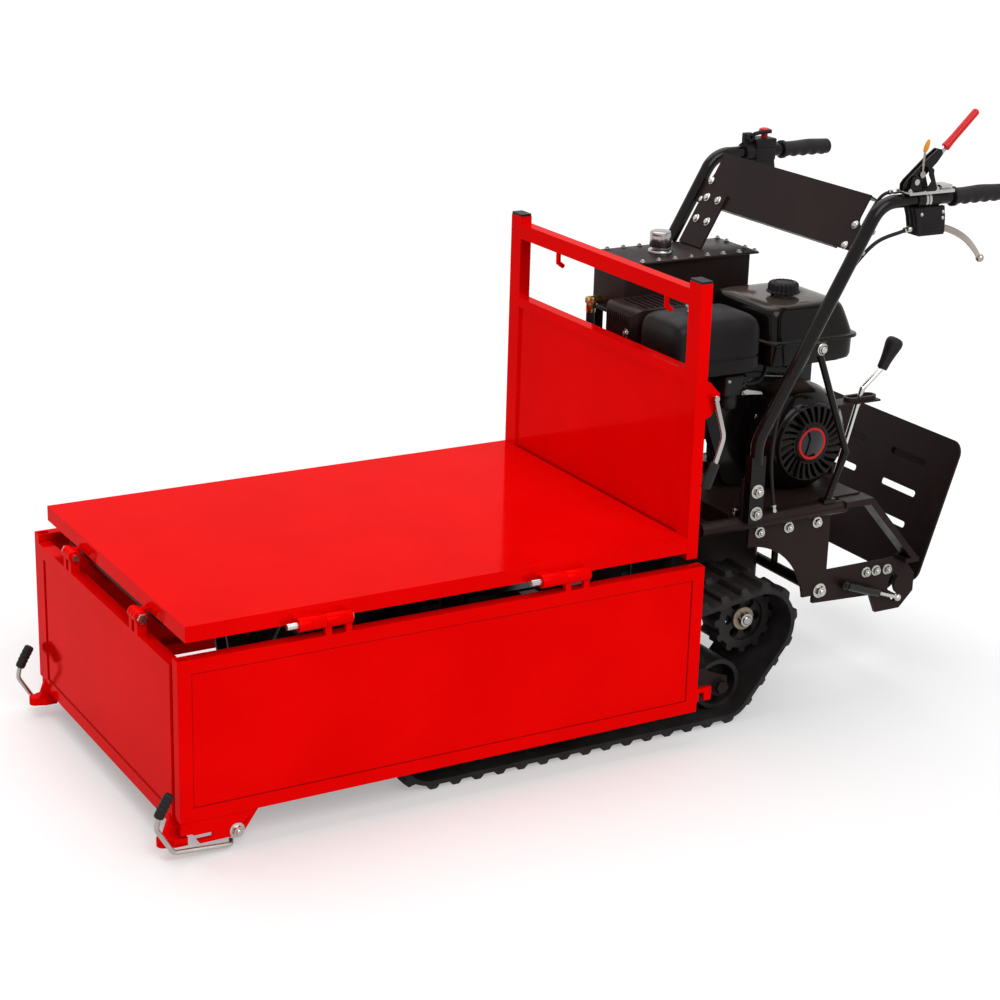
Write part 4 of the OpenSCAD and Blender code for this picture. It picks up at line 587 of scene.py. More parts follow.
# %% belts
SPROCKET_X, SPROCKET_Z = -0.383, 0.197
WHEELS = np.array([[-0.311, 0.075, 0.053], [0.357, 0.085, 0.063], [SPROCKET_X, SPROCKET_Z, 0.073]])
BELT, LUG, PITCH, TRACK_Y, TRACK_W = 0.011, 0.011, 0.048, 0.232, 0.180
LUG_LEN, LUG_SLOPE, BELT_STEPS, TOP_STEPS = 0.022, 0.0042, 756, 45


def belt_path(count):
    """Points and outward normals along the loop: straights that touch two wheels, and arcs round each
    wheel."""
    nxt = np.roll(WHEELS, -1, axis=0)
    span = nxt[:, :2] - WHEELS[:, :2]
    dist = np.linalg.norm(span, axis=1)
    turn = np.arctan2(span[:, 1], span[:, 0]) - np.arccos((WHEELS[:, 2] - nxt[:, 2]) / dist)
    turn = np.where(turn < turn[0], turn + 2 * np.pi, turn)
    straight = np.sqrt(dist ** 2 - (WHEELS[:, 2] - nxt[:, 2]) ** 2)
    sweep = np.append(turn[1:], turn[0] + 2 * np.pi) - turn
    arc = nxt[:, 2] * sweep
    ends = np.cumsum(np.stack([straight, arc], 1).reshape(-1))
    s = np.linspace(0, ends[-1], count, endpoint=False)
    part = np.searchsorted(ends, s, side="right")
    i, on_arc = part // 2, part % 2 == 1
    local = s - np.append(0, ends)[part]
    angle = turn[i] + np.where(on_arc, sweep[i] * local / arc[i], 0)
    n = np.stack([np.cos(angle), np.sin(angle)], 1)
    hub = np.where(on_arc[:, None], nxt[i], WHEELS[i])
    run = np.where(on_arc, 0, local)[:, None] * np.stack([-n[:, 1], n[:, 0]], 1)
    return hub[:, :2] + hub[:, 2:] * n + run, n, s, ends[-1]


def smooth(x):
    """0 below 0, 1 above 1, with a soft start and end between."""
    x = np.clip(x, 0, 1)
    return x * x * (3 - 2 * x)


def belt_sheet(side):
    """Ring of offsets across the belt (outside, edge, inside, edge) at every step along the loop."""
    p, n, s, length = belt_path(BELT_STEPS)
    step = length / round(length / PITCH)
    half = TRACK_W / 2
    t = np.concatenate([np.linspace(-half, half, TOP_STEPS), np.linspace(half, -half, 13)])
    outer = np.arange(len(t)) < TOP_STEPS
    lift = np.zeros((len(s), len(t)))
    for phase, low, high in ((0.1, -half, 0.0), (0.6, 0.0, half)):
        d = (s / step - phase) % 1.0 * step
        along = smooth(d / LUG_SLOPE) * smooth((LUG_LEN - d) / LUG_SLOPE)
        across = smooth((t - low - 0.001) / 0.006) * smooth((high - t - 0.001) / 0.006)
        across = np.where((t > low) & (t < high), across, 0)
        waist = 1 - 0.16 * np.exp(-((t - (low + high) / 2) / 0.012) ** 2)
        lift = np.maximum(lift, along[:, None] * (across * waist)[None, :])
    groove = 0.0012 * np.exp(-((np.abs(t) - 0.004) / 0.002) ** 2)
    rim = 0.0015 * smooth((np.abs(t) - half + 0.005) / 0.005)
    out = BELT + LUG * lift - groove - rim
    rib = 0.0010 * (0.5 + 0.5 * np.cos(2 * np.pi * s / step))[:, None] * smooth((0.07 - np.abs(t)) / 0.01)
    h = np.where(outer, out, 0.0004 + rib)
    xz = p[:, None, :] + h[..., None] * n[:, None, :]
    y = np.broadcast_to(side * (TRACK_Y + t), h.shape)
    return grid(np.stack([xz[..., 0], y, xz[..., 1]], -1), loop=True)


for name, side in SIDES:
    belt = piece("rubber_track_" + name, [belt_sheet(side)], track_rubber, "chassis", ["track_belt_" + name])
    print(belt.name, len(belt.data.polygons), "faces")

# %% [markdown]
# ## Sprocket washers
# Each drive sprocket is held on its shaft by a thick tan-plated washer and a nut. They turn with the
# sprocket, so they ride its body.

# %% washers and nuts
for name, side in SIDES:
    hub, out = np.array([SPROCKET_X, side * 0.2555, SPROCKET_Z]), (0, side, 0)
    washer = collar(hub, out, 0.006, 0.0245, 0.0056, 0.001, 0.001, 40)
    piece("hub_washer_" + name, [washer], washer_tan, "sprocket_" + name)
    nut_rows = mm([[4, 5], [15.8, 5], [15.8, 15], [14, 16.6], [9.5, 16.8], [9, 15.8], [3, 15.8]])
    stud_rows = mm([[2, 14], [8.6, 14], [8.6, 19.5], [7.4, 20.5], [2, 20.5]])
    nut, stud = turned(nut_rows, hub, out, 36, hexed=True), turned(stud_rows, hub, out, 24)
    plated("hub_nut_" + name, [nut, stud], "sprocket_" + name)
print("hubs dressed")

# %% [markdown]
# ## Latch rods
# The drop sides are locked by bent, plated rods with black sleeves to hold. A rod is a wire bent over a
# former, so its path is a few straight runs with a small curve at each knee. The corner pair turns on an eye
# at the front, and the bed pair turns on a pin in the headboard posts.

# %% corner and bed latches
def sleeve(path, r, sides=18, flat=1.0, ridge=0.0005, flare=0.0):
    """A soft sleeve with rounded ends, a little ridged along its length, flattened across the machine, and
    wider by flare at its mouth."""
    p = np.asarray(path, float)
    k = np.linspace(0, 1, 41)
    step = np.concatenate([[0], np.cumsum(np.linalg.norm(np.diff(p, axis=0), axis=1))])
    q = np.stack([np.interp(k * step[-1], step, p[:, c]) for c in range(3)], 1)
    end = np.minimum(k, 1 - k) * step[-1]
    body = r * (0.62 + 0.38 * np.sqrt(np.clip(1 - (1 - np.clip(end / (0.6 * r), 0, 1)) ** 2, 0, 1)))
    rings = ridge * np.cos(2 * np.pi * k * step[-1] / 0.0085) * (end > r)
    mouth = 1 + flare * np.clip(1 - k / 0.35, 0, 1) ** 2
    return tube(q, body * mouth + rings, sides, flat=flat)


CORNER_X, CORNER_Z = 0.774, 0.035
BED_X, BED_Z = -0.215, 0.704
corner_rod = mm([[774, 352, 35], [781, 352, 12.5], [788, 369, 12.5], [896, 369, 20.5], [927, 369, 72.5],
                 [923, 369, 92.5], [920, 369, 98.5]])
corner_hold = mm([[923, 369, 92.5], [914, 369, 110.5], [900, 369, 134.5]])
bed_rod = mm([[-215, 352, 704], [-239, 352, 626], [-225, 352, 582], [-205, 352, 532]])
bed_hold = mm([[-223, 352, 577], [-213, 352, 552], [-203, 352, 527]])
for name, side in SIDES:
    rod = [
        tube(bent(corner_rod, 0.007), 0.0046),
        collar((CORNER_X, 0.3485, CORNER_Z), ACROSS, 0.003, 0.012, 0.0072, 0.0008, 0.0008, 30),
        *bolt((CORNER_X, 0.3640, CORNER_Z), ACROSS, 0.0105),
        turned(mm([[2, 0], [4.5, 0], [4.5, 12], [2, 12]]), (CORNER_X, 0.3535, CORNER_Z), ACROSS, 16),
    ]
    hold = [sleeve(bent(corner_hold, 0.006), 0.0098, flat=0.85)]
    pin = mm([[1, 0], [3.8, 0], [4, 1], [4, 17.2], [6.2, 17.4], [6.4, 20.5], [5.6, 23.3], [1, 23.4]])
    rod2 = [tube(bent(bed_rod, 0.012), 0.0050), turned(pin, (BED_X, 0.334, BED_Z), ACROSS, 20)]
    hold2 = [sleeve(bent(bed_hold, 0.006), 0.0112, flat=0.51, ridge=0.0)]
    if side < 0:
        rod, hold, rod2, hold2 = (mirror_sheets(s) for s in (rod, hold, rod2, hold2))
    piece("corner_rod_" + name, rod, zinc_plate, "corner_latch_" + name, ["corner_latch_" + name])
    piece("corner_sleeve_" + name, hold, grip_rubber, "corner_latch_" + name)
    piece("bed_rod_" + name, rod2, zinc_plate, "bed_latch_" + name, ["bed_latch_" + name])
    piece("bed_sleeve_" + name, hold2, grip_rubber, "bed_latch_" + name)
print("latches: four rods and four sleeves")

# %% [markdown]
# ## Handle grips and levers
# The grips are rubber sleeves with a palm swell on top, finger waves below and a thicker collar. The steering
# levers are plated, flattened and tapered, and end in a ball, so that a hand can squeeze them against the
# bar.

# %% grips
GRIP_LEN, GRIP_R, GRIP_STEPS, GRIP_SIDES = 0.132, 0.0163, 133, 48


def grip(side):
    """Radius by the distance d from the open end and the angle a: a collar, a palm swell on top, finger waves
    below."""
    d = np.linspace(0, GRIP_LEN, GRIP_STEPS)[:, None]
    a = np.linspace(0, 2 * np.pi, GRIP_SIDES, endpoint=False)[None, :]
    above, below = np.clip(np.sin(a), 0, 1), np.clip(-np.sin(a), 0, 1) ** 0.7
    held = smooth((d - 0.010) / 0.010) * smooth((0.126 - d) / 0.010)
    palm = 0.0022 * np.exp(-((d - 0.076) / 0.030) ** 2) * above
    fingers = 0.0014 * np.cos(2 * np.pi * (d - 0.010) / 0.0255) * held * below
    line = 0.0003 * np.cos(2 * np.pi * d / 0.0044) * held * (1 - below) * (1 - above)
    lip = 0.0034 * smooth((0.009 - d) / 0.002)
    r = GRIP_R + palm + fingers + line + lip
    r = r * np.sqrt(np.clip(1 - np.clip((d - 0.125) / 0.0085, 0, 1) ** 2, 0.05, 1))
    r = np.concatenate([np.full((1, GRIP_SIDES), 0.0137), r, np.full((1, GRIP_SIDES), 0.002)])
    x = -0.808 - np.concatenate([[[0.0]], d, [[0.1322]]]) + 0 * r
    return grid(np.stack([x, side * HANDLE_Y + r * np.cos(a), HANDLE_Z + r * np.sin(a)], -1))


piece("rubber_grips", [grip(1), grip(-1)], grip_rubber, "chassis", ["handle_grips"])

BALL_R = 0.0086
lever = mm([[-780, 283, 974], [-806, 283, 968], [-835, 283, 956], [-861, 283, 940], [-883, 283, 919],
            [-897, 283, 901]])
for name, side in SIDES:
    path = curve(lever, 10)
    k = np.linspace(0, 1, len(path))
    blade = [tube(path, 0.0070 - 0.0020 * k + 0.0008 * np.sin(np.pi * k), 28, flat=0.70, groove=0.5)]
    ball = np.linspace(-np.pi / 2, np.pi / 2, 13)
    round_end = np.stack([BALL_R * np.cos(ball) + 0.0002, BALL_R * np.sin(ball)], 1)
    blade.append(turned(round_end, (-0.899, 0.283, 0.9005), (0.5, 0, 0.86), 24))
    blade.append(collar((-0.780, 0.2782, 0.974), ACROSS, 0.002, 0.0098, 0.0096, 0.0006, 0.0008, 28))
    blade = blade if side > 0 else mirror_sheets(blade)
    piece("steering_blade_" + name, blade, lever_steel, "steering_lever_" + name, ["steering_lever_" + name])
print("grips and steering levers made")

# %% [markdown]
# ## Control blocks
# Under each bar a black housing holds a steering lever. On the near bar a plated seat carries the clutch
# lever, and on the far bar a moulded block carries the throttle and the stop button. They are plates and
# rounded blocks, clamped round the tube.

# %% housings, seat and throttle block
BAR_R, CLAMP_BORE = 0.0135, 0.0134
CLUTCH_X, CLUTCH_Z = rx(535), 1.071
bar_top, bar_low = HANDLE_Z + BAR_R, HANDLE_Z - BAR_R
seat_top, far_y = bar_top + 0.006, -HANDLE_Y


def band(x0, x1, y, r):
    """A clamp band round the bar, with chamfered edges."""
    return collar((x0, y, HANDLE_Z), ALONG, CLAMP_BORE, r, x1 - x0, 0.0008, 0.0008, 40)


def housing(side):
    """Two cheek plates and a back wall that leave a slot for the lever."""
    outline = [(rx(532), bar_low), (rx(610), bar_low), (rx(614), 0.996), (rx(615), 0.966), (rx(612), 0.962),
               (rx(550), 0.962), (rx(546), 0.966), (rx(539), 1.000)]
    back = [(rx(532), bar_low), (rx(597), bar_low), (rx(597), 0.962), (rx(550), 0.962), (rx(546), 0.966),
            (rx(539), 1.000)]
    cheeks = [slab(outline, 0.265, 0.277, 0.002), slab(outline, 0.289, 0.301, 0.002),
              slab(back, 0.2768, 0.2892, 0.0005)]
    cheeks += [soft_block((rx(604), 0.2995, z), (rx(556), 0.3022, z + 0.0035), 0.001, 2)
               for z in (0.967, 0.974, 0.981, 0.988)]
    cheeks += [band(rx(600), rx(545), HANDLE_Y, 0.0168)]
    return cheeks if side > 0 else mirror_sheets(cheeks)


cx, cz = CLUTCH_X, CLUTCH_Z
ear = [(cx - 0.016, seat_top), (cx + 0.016, seat_top), (cx + 0.008, cz + 0.007),
       (cx + 0.004, cz + 0.010), (cx - 0.004, cz + 0.010), (cx - 0.008, cz + 0.007)]
horn = [(rx(558), seat_top), (rx(586), seat_top), (rx(584), bar_top + 0.012), (rx(574), 1.086),
        (rx(574), 1.094), (rx(569), 1.098), (rx(563), 1.094), (rx(563), 1.084), (rx(571), 1.070)]
block_sheets = housing(1) + housing(-1)
block_sheets += [slab(ear, y, y + 0.005, 0.0008) for y in (HANDLE_Y - 0.014, HANDLE_Y + 0.009)]
block_sheets += [slab(horn, y, y + 0.004, 0.0006) for y in (HANDLE_Y - 0.014, HANDLE_Y + 0.014)]
block_sheets += [
    soft_block((rx(612), far_y - 0.022, bar_top - 0.004), (rx(557), far_y + 0.022, bar_top + 0.016), 0.004),
    soft_block((rx(612), far_y - 0.021, bar_low - 0.006), (rx(557), far_y + 0.021, bar_top - 0.002), 0.005),
    band(rx(558), rx(536), far_y, 0.0205),
    soft_block((rx(558), far_y - 0.007, bar_top), (rx(536), far_y + 0.007, 1.075), 0.003),
]
piece("control_blocks", block_sheets, moulded_black, "chassis", ["control_housings"])

seat_pin = mm([[1, 0], [5.5, 0], [6, 0.8], [6, 3], [3.9, 3.2], [3.9, 31], [6, 31.2], [6, 33.5], [1, 34]])
seat = [
    soft_block((rx(628), HANDLE_Y - 0.022, bar_top - 0.0003), (rx(514), HANDLE_Y + 0.022, seat_top),
               0.0012, 2),
    soft_block((rx(628), HANDLE_Y - 0.018, bar_top + 0.0055), (rx(600), HANDLE_Y + 0.014, bar_top + 0.014),
               0.0015, 2),
    band(rx(577), rx(571), HANDLE_Y, 0.0175),
    band(rx(569), rx(563), HANDLE_Y, 0.0175),
    turned(seat_pin, (CLUTCH_X, HANDLE_Y - 0.0175, CLUTCH_Z), ACROSS, 24),
]
for d in (520, 588):
    seat += bolt((rx(d), HANDLE_Y + 0.015, seat_top), UP, 0.0042)
for side in (1, -1):
    for d, z in ((606, 0.996), (606, 1.008), (552, 1.006)):
        seat += dome((rx(d), side * 0.301, z), (0, side, 0), 0.0034)
piece("clutch_seat", seat, bright_chrome, "chassis")

arm = mm([[-705, 283, 1071], [-765, 283, 1117], [-852, 283, 1198]])
blade = tube(bent(arm, 0.010), np.linspace(0.0088, 0.0064, 9), 24, flat=0.48, groove=0.45)
plated("clutch_blade", [blade], "clutch_lever")
cheek = mm([[-686, 1049], [-680, 1056], [-680, 1066], [-686, 1074], [-738, 1117], [-760, 1132], [-769, 1130],
            [-772, 1121], [-760, 1106], [-702, 1055], [-695, 1050]])
arm_sheets = [slab(cheek, y, y + 0.0035, 0.0006) for y in (HANDLE_Y - 0.0078, HANDLE_Y + 0.0035)]
arm_sheets.append(collar((CLUTCH_X, 0.2753, CLUTCH_Z), ACROSS, 0.0042, 0.0092, 0.0154, 0.0006, 0.001, 30))
piece("clutch_arm", arm_sheets, bar_enamel, "clutch_lever", ["clutch_lever"])
clutch_hold = sleeve(mm([[-780, 283, 1131], [-855, 283, 1201]]), 0.0076, 24, ridge=0.0, flare=0.24)
piece("clutch_sleeve", [clutch_hold], lever_red, "clutch_lever")
stem = collar((-0.722, 0.2903, 1.084), ACROSS, 0.001, 0.0069, 0.004, 0.0005, 0.0006, 28)
wire = tube(mm([[-722, 292.3, 1084], [-722, 292.3, 1110], [-724, 292, 1132]]), 0.0022, 12)
piece("lock_stem", [stem, wire], lever_steel, "lock_tab", ["lock_tab"])
paddle = np.linspace(0, 1, 17)
leaf_r = 0.0024 + 0.0032 * np.sin(np.pi * paddle ** 0.8) ** 0.7
leaf_path = np.stack([-0.723 - 0.009 * paddle, np.full(17, 0.2915), 1.127 + 0.025 * paddle], 1)
piece("lock_leaf", [tube(leaf_path, leaf_r, 18, flat=0.7)], tab_orange, "lock_tab")
print("controls: blocks, seat, clutch arm, sleeve and lock tab")

# %% [markdown]
# ## Stop button and throttle
# The stop button is a red mushroom on a stem, tall enough to stand above the throttle. The throttle paddle is
# the frame's own solid, and its box is printed.

# %% button and throttle
mushroom = mm([[1, 0], [7.4, 0], [7.4, 18.5], [11.8, 18.8], [12.5, 20], [12.5, 23.2], [11.2, 25.6],
               [7.5, 27.2], [1, 27.8]])
stem = turned(mushroom, (rx(592), far_y, 1.0555), UP, 36)
piece("stop_mushroom", [stem], lever_red, "stop_button", ["stop_button"])
tab_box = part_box("throttle_lever")
print("throttle box", [tuple(round(v, 4) for v in c) for c in tab_box])

# %% [markdown]
# ## Cables and hose
# Black bowden cables run from the controls down behind the handlebars into the chassis. Their plastic skins
# end in plated ferrules. The oil hose is thicker, drops from a brass elbow on the tank and plugs into the
# rail.

# %% cables
LOW_FERRULE = 0.016


def cable_ends(path, r, length):
    """Ferrules over both ends of a cable: two short turned collars along its first and last run."""
    sheets = []
    for tip, nxt, k in ((path[0], path[3], length), (path[-1], path[-3], LOW_FERRULE)):
        sheets.append(turned([(r * 0.9, 0), (r * 1.45, 0), (r * 1.55, 0.001), (r * 1.55, k - 0.012),
                              (r * 1.3, k - 0.010), (r * 1.3, k - 0.006), (r * 1.5, k - 0.005),
                              (r * 1.5, k - 0.001), (r * 1.2, k), (r * 0.9, k)], tip, nxt - tip, 20))
    return sheets


steer = mm([[-727.5, 283, 978]]) + mm([[0, 0, 0], [36, 1, -6], [104, -3, -28], [162, -15, -98],
                                       [203, -20, -178], [280, -21, -318], [303, -21, -438]])
steer = np.concatenate([steer, mm([[-440, 262, 417]])])
clutch = mm([[-686, 267, 1049.5]]) + mm([[0, 0, 0], [29, -5, -4.5], [46, -11, -25], [74, -15, -74],
                                         [120, -15, -159], [166, -17, -249], [246, -19, -389],
                                         [291, -23, -509]])
clutch = np.concatenate([clutch, mm([[-355, 240.3, 414]])])
cables, ferrules = [], []
for route, r, ferrule in ((steer, 0.0038, 0.034), (steer * [1, -1, 1], 0.0038, 0.034),
                          (clutch, 0.0034, 0.022)):
    path = curve(route, 12)
    cables.append(tube(path, r, 12))
    ferrules += cable_ends(path, r, ferrule)
piece("bowden_cables", cables, grip_rubber, "chassis", ["control_cables"])
plated("cable_ferrules", ferrules)

hose_path = curve(mm([[-286, -210, 740]]) + mm([[0, 0, 0], [0, 0, -90], [4, 10, -180], [8, 30, -260],
                                                [8, 40, -300]]), 12)
piece("oil_hose_skin", [tube(hose_path, 0.009, 20, ref=(0, 1, 0.2))], grip_rubber, "chassis", ["oil_hose"])
elbow, low_end = (-0.286, -0.210, 0.736), hose_path[-1]
brass = [
    turned(mm([[3, 0], [9.8, 0], [10.4, 1], [10.4, 22], [9, 26], [3, 26]]), elbow, UP, 30),
    turned(mm([[3, 20], [12.5, 20], [12.5, 30], [11, 32], [3, 32]]), elbow, UP, 36, hexed=True),
    turned(mm([[3, 0], [9.5, 0], [10, 1], [10, 24], [3, 24]]), (-0.306, -0.210, 0.760), ALONG, 30),
    turned(mm([[3, -25], [10.5, -25], [10.5, 10], [9.8, 12], [3, 12]]), low_end, UP, 30),
    turned(mm([[3, -20], [13.5, -20], [13.5, -8], [12, -6], [3, -6]]), low_end, UP, 36, hexed=True),
]
piece("hose_fittings", brass, yellow_brass, "chassis")
print("cables:", len(cables), "and one hose")

# %% [markdown]
# ## Fuel tank and air cleaner
# The fuel tank is two pressed half shells, crimped together at a flange. Its upper half leans in towards the
# top, most at the rear, so its rows are also shifted forwards with their height. The air cleaner is a moulded
# cover held by one wing nut. Both are stacks of rounded outlines.

# %% tank, cap and air cleaner
CAP_X, CAP_Y = -0.560, 0.085
TANK_LEAN, TANK_SEAM = 0.17, 0.742
tank_rows = mm([[30, 686], [18, 687.5], [11, 692], [8.5, 700], [8, 733], [3, 734.5], [0.6, 735.6], [0, 737],
                [0, 740.5], [0.6, 741.8], [3, 742.8], [8, 743.6], [9.4, 750], [13, 768], [17, 786],
                [19.4, 795], [22, 801], [25.6, 805.4], [30.4, 808.2], [37, 809.6], [52, 810.4], [84, 811]])
tank = moulded(tank_rows, (-0.5745, 0.065), (0.1175, 0.125), 8.0, 128)
tank["p"][..., 0] += TANK_LEAN * np.maximum(tank["p"][..., 2] - TANK_SEAM, 0)
neck = turned(mm([[10, 805], [27, 805], [25, 811], [24, 813], [24, 818], [10, 818]]), (CAP_X, CAP_Y, 0), UP,
              40)
piece("pressed_tank", [tank, neck], tank_lacquer, "chassis", ["fuel_tank"])

cap_rows = mm([[4, 0], [33.6, 0], [34.4, 0.8], [34.4, 3.2], [33, 4.2], [31.6, 5], [31.4, 16], [30, 19.4],
               [26.5, 21.6], [20, 22.6], [18.5, 21.2], [3, 21.0]])
cap = turned(cap_rows, (CAP_X, CAP_Y, 0.8184), UP, 160, lobes=20, depth=0.0030)
piece("ribbed_cap", [cap], moulded_black, "fuel_cap", ["fuel_cap"])

air_rows = mm([[26, 683], [10, 684], [3, 687], [0.8, 693], [0, 704], [0, 716], [2.2, 717], [2.6, 719],
               [2.2, 721], [0.2, 722], [0.4, 752], [1.0, 770], [2.6, 780], [6.0, 788], [11, 794], [18, 798.6],
               [27, 801.8], [40, 804], [60, 805]])
air = moulded(air_rows, (-0.348, 0.1025), (0.104, 0.0725), 9.0, 136)
piece("air_cover", [air], moulded_black, "chassis", ["air_cleaner"])

wing_foot = (-0.324, 0.1025, 0.8045)
wings = [turned(mm([[2, 0], [9, 0], [9.4, 0.6], [9.2, 1.6], [6.4, 2.0], [6.0, 6], [4.2, 8.5], [3.0, 8.8],
                    [3.0, 12], [2.4, 12.8], [0.6, 13]]), wing_foot, UP, 30)]
wx, wz = wing_foot[0], wing_foot[2]
for k in (1, -1):
    leaf = mm([[3, 2.0], [8, 3.4], [13, 7.5], [15.5, 12.5], [14.5, 15.5], [11, 15.5], [7, 10.5], [3, 7.6]])
    wings.append(slab(np.stack([wx + k * leaf[:, 0], wz + leaf[:, 1]], 1), 0.1010, 0.1040, 0.0008))
plated("wing_nut", wings)
print("tank, cap and air cleaner made")

# %% [markdown]
# ## Starter cover
# Behind the round cover a fan draws air through a ring of swirled slots, and a rope drum sits under its
# middle. The cover is one turned shell whose face is cut by a wave: the angle, shifted with the radius, makes
# curved slots.

# %% starter cover
SLOTS, SWIRL, SLOT_DEPTH, COVER_FOOT, COVER_LOW = 26, 5.0, 0.016, 0.095, 0.4215


def starter_cover():
    """Face height as a function of radius and angle; slots where a wave of the angle, bent with the radius,
    is high."""
    prof = mm([[116, 0], [116, 46], [115, 50], [112.5, 58], [110, 67], [105, 77], [99.5, 84], [94, 90.5],
               [89, 96], [86.5, 98.4], [84.5, 99.4], [83.4, 101.5], [81.6, 104.6], [79.6, 106.4],
               [78, 106.8]])
    inner = np.linspace(0.0775, 0.0425, 30)
    prof = np.concatenate([prof, np.stack([inner, np.full(30, 0.1066)], 1),
                           mm([[40.4, 106.7], [39.4, 109.2], [38.2, 110], [35.2, 110], [34.6, 109],
                               [3, 108.8]])])
    a = np.linspace(0, 2 * np.pi, 364, endpoint=False)
    r, y = prof[:, :1], prof[:, 1:]
    wave = np.cos(SLOTS * (a[None, :] + SWIRL * (r - 0.06)))
    face = smooth((r - 0.0440) / 0.0014) * smooth((0.0770 - r) / 0.0014)
    slot = smooth((wave + 0.05 - 6.0 * (r - 0.06)) / 0.35) * face
    deep = y - SLOT_DEPTH * slot
    x = CRANK[0] + r * np.cos(a)
    z = np.maximum(CRANK[2] + r * np.sin(a), COVER_LOW)
    return grid(np.stack([x, COVER_FOOT + deep, z], -1))


def disc_y(r, y, z_ring):
    """A flat badge: rows of (radius, height) round the crank's axis."""
    return turned([(r * 0.05, 0), (r, 0), (r, z_ring), (r - 0.0006, z_ring + 0.0004),
                   (r * 0.05, z_ring + 0.0004)], (CRANK[0], y, CRANK[2]), ACROSS, 72)


cover_skin = piece("starter_shell", [starter_cover()], tank_lacquer, "chassis", ["recoil_cover"])
ring_rows = mm([[28.6, 0], [33.4, 0], [33.8, 0.3], [33.4, 0.8], [29.0, 0.8], [28.5, 0.4]])
piece("badge_ring", [turned(ring_rows, (CRANK[0], 0.2036, CRANK[2]), ACROSS, 72)], lever_red, "chassis")
piece("badge_disc", [disc_y(0.0284, 0.2034, 0.0006)], badge_black, "chassis")

shell_bolts = []
for turn in np.radians([28, 78, 128, 178]):
    spot = (CRANK[0] + 0.110 * math.cos(turn), 0.142, CRANK[2] + 0.110 * math.sin(turn))
    shell_bolts += bolt(spot, ACROSS, 0.0052)
plated("cover_bolts", shell_bolts)
print("starter cover:", len(cover_skin.data.polygons), "faces")

# %% [markdown]
# ## Engine trim
# The fan's air is led over the cylinder by a folded sheet cowl, so the fins don't show from the near side.
# Above it sit the carburettor, its bowl, a fuel hose, the choke lever and a thin governor link. The cowl is a
# plate cut from an outline, and the rest are turned bodies, wires and small levers. The muffler's guard has a
# row of short louvres.

# %% cowl, carburettor and muffler guard
cowl_line = curve(mm([[-520, 0, 422.5], [-446, 0, 422.5], [-418, 0, 440], [-395, 0, 500], [-372, 0, 560],
                      [-357, 0, 612], [-353, 0, 655], [-364, 0, 676], [-398, 0, 682.5], [-470, 0, 682.5],
                      [-540, 0, 676], [-590, 0, 640], [-600, 0, 520], [-575, 0, 440]]), 4)[:-1, [0, 2]]
cowl = slab(cowl_line, 0.086, 0.1065, 0.005)
piece("fan_cowl", [cowl], tank_lacquer, "chassis")

bowl = mm([[1, 0], [9, 0], [14.5, 3], [16.5, 8], [16.5, 28], [18, 29], [18, 33], [4, 33]])
carb = [
    soft_block((-0.432, 0.106, 0.630), (-0.386, 0.146, 0.674), 0.006),
    soft_block((-0.446, 0.112, 0.640), (-0.430, 0.140, 0.668), 0.003),
    turned(bowl, (-0.409, 0.127, 0.600), UP, 36),
]
carb += bolt((-0.409, 0.127, 0.600), (0, 0, -1), 0.0055, washer=False)
piece("carburettor", carb, wheel_iron, "chassis")
choke = mm([[-478, 628], [-474, 634], [-436, 643], [-425, 640], [-425, 633], [-438, 632]])
governor = mm([[-548, 118, 650], [-500, 124, 658], [-446, 132, 656], [-430, 148, 652]])
links = [tube(governor, 0.0013, 10), slab(choke, 0.1475, 0.1495, 0.0005)]
links += dome((-0.430, 0.1495, 0.6375), ACROSS, 0.0040)
links += dome((-0.396, 0.1455, 0.662), ACROSS, 0.0036)
plated("choke_and_link", links)
fuel_line = curve(mm([[-500, 120, 690], [-498, 124, 672], [-478, 136, 655], [-452, 140, 651],
                      [-430, 134, 652]]), 8)
piece("fuel_line", [tube(fuel_line, 0.0042, 14)], grip_rubber, "chassis")

low, high = (np.array(c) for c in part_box("muffler"))
ribs = [soft_block((high[0] - 0.003, y - 0.0021, high[2] - 0.034),
                   (high[0] + 0.0018, y + 0.0021, high[2] - 0.012), 0.0014, 3)
        for y in np.linspace(low[1] + 0.018, high[1] - 0.018, 11)]
piece("muffler_louvres", ribs, black_coat, "chassis")
guard_bolts = []
for y, z in ((low[1] + 0.022, low[2] + 0.022), (high[1] - 0.022, low[2] + 0.022),
             (high[1] - 0.022, low[2] + 0.056)):
    guard_bolts += bolt((high[0] - 0.0002, y, z), ALONG, 0.0062)
plated("muffler_bolts", guard_bolts)
print("engine trim:", len(carb) + len(links) + len(ribs), "sheets")

# %% [markdown]
# ## Oil tank lid and filler cap
# The lid is a thick plate with small plated bolts all round its edge. The filler is a chromed breather cap
# with a knurled rim.

# %% lid and filler
LID_TOP, LID_BOLT, LID_ENDS = 0.858, 0.0043, (-0.6245, -0.3015)
lid = [soft_block((-0.632, -0.250, 0.8530), (-0.294, -0.100, LID_TOP), 0.0016, 2)]
piece("lid_plate", lid, black_coat, "chassis", ["oil_tank_lid"])
spots = [(x, y) for x in np.linspace(*LID_ENDS, 9) for y in (-0.243, -0.107)]
spots += [(x, y) for y in (-0.209, -0.141) for x in LID_ENDS]
lid_heads = [sheet for x, y in spots for sheet in bolt((x, y, LID_TOP), UP, LID_BOLT)]
plated("lid_bolts", lid_heads)
filler = turned(mm([[2, 0.3], [25.4, 0.3], [26, 1], [26, 5], [25, 6.3], [18, 6.6], [17, 7.4], [17, 11.4],
                    [18, 12.2], [22.2, 12.4], [23, 13.4], [23, 41], [22, 44.5], [19, 46], [3, 46.4]]),
                (-0.430, -0.175, LID_TOP), UP, 144, lobes=48, depth=0.0005)
piece("breather_cap", [filler], bright_chrome, "filler_cap", ["filler_cap"])
print("lid bolts:", len(spots))

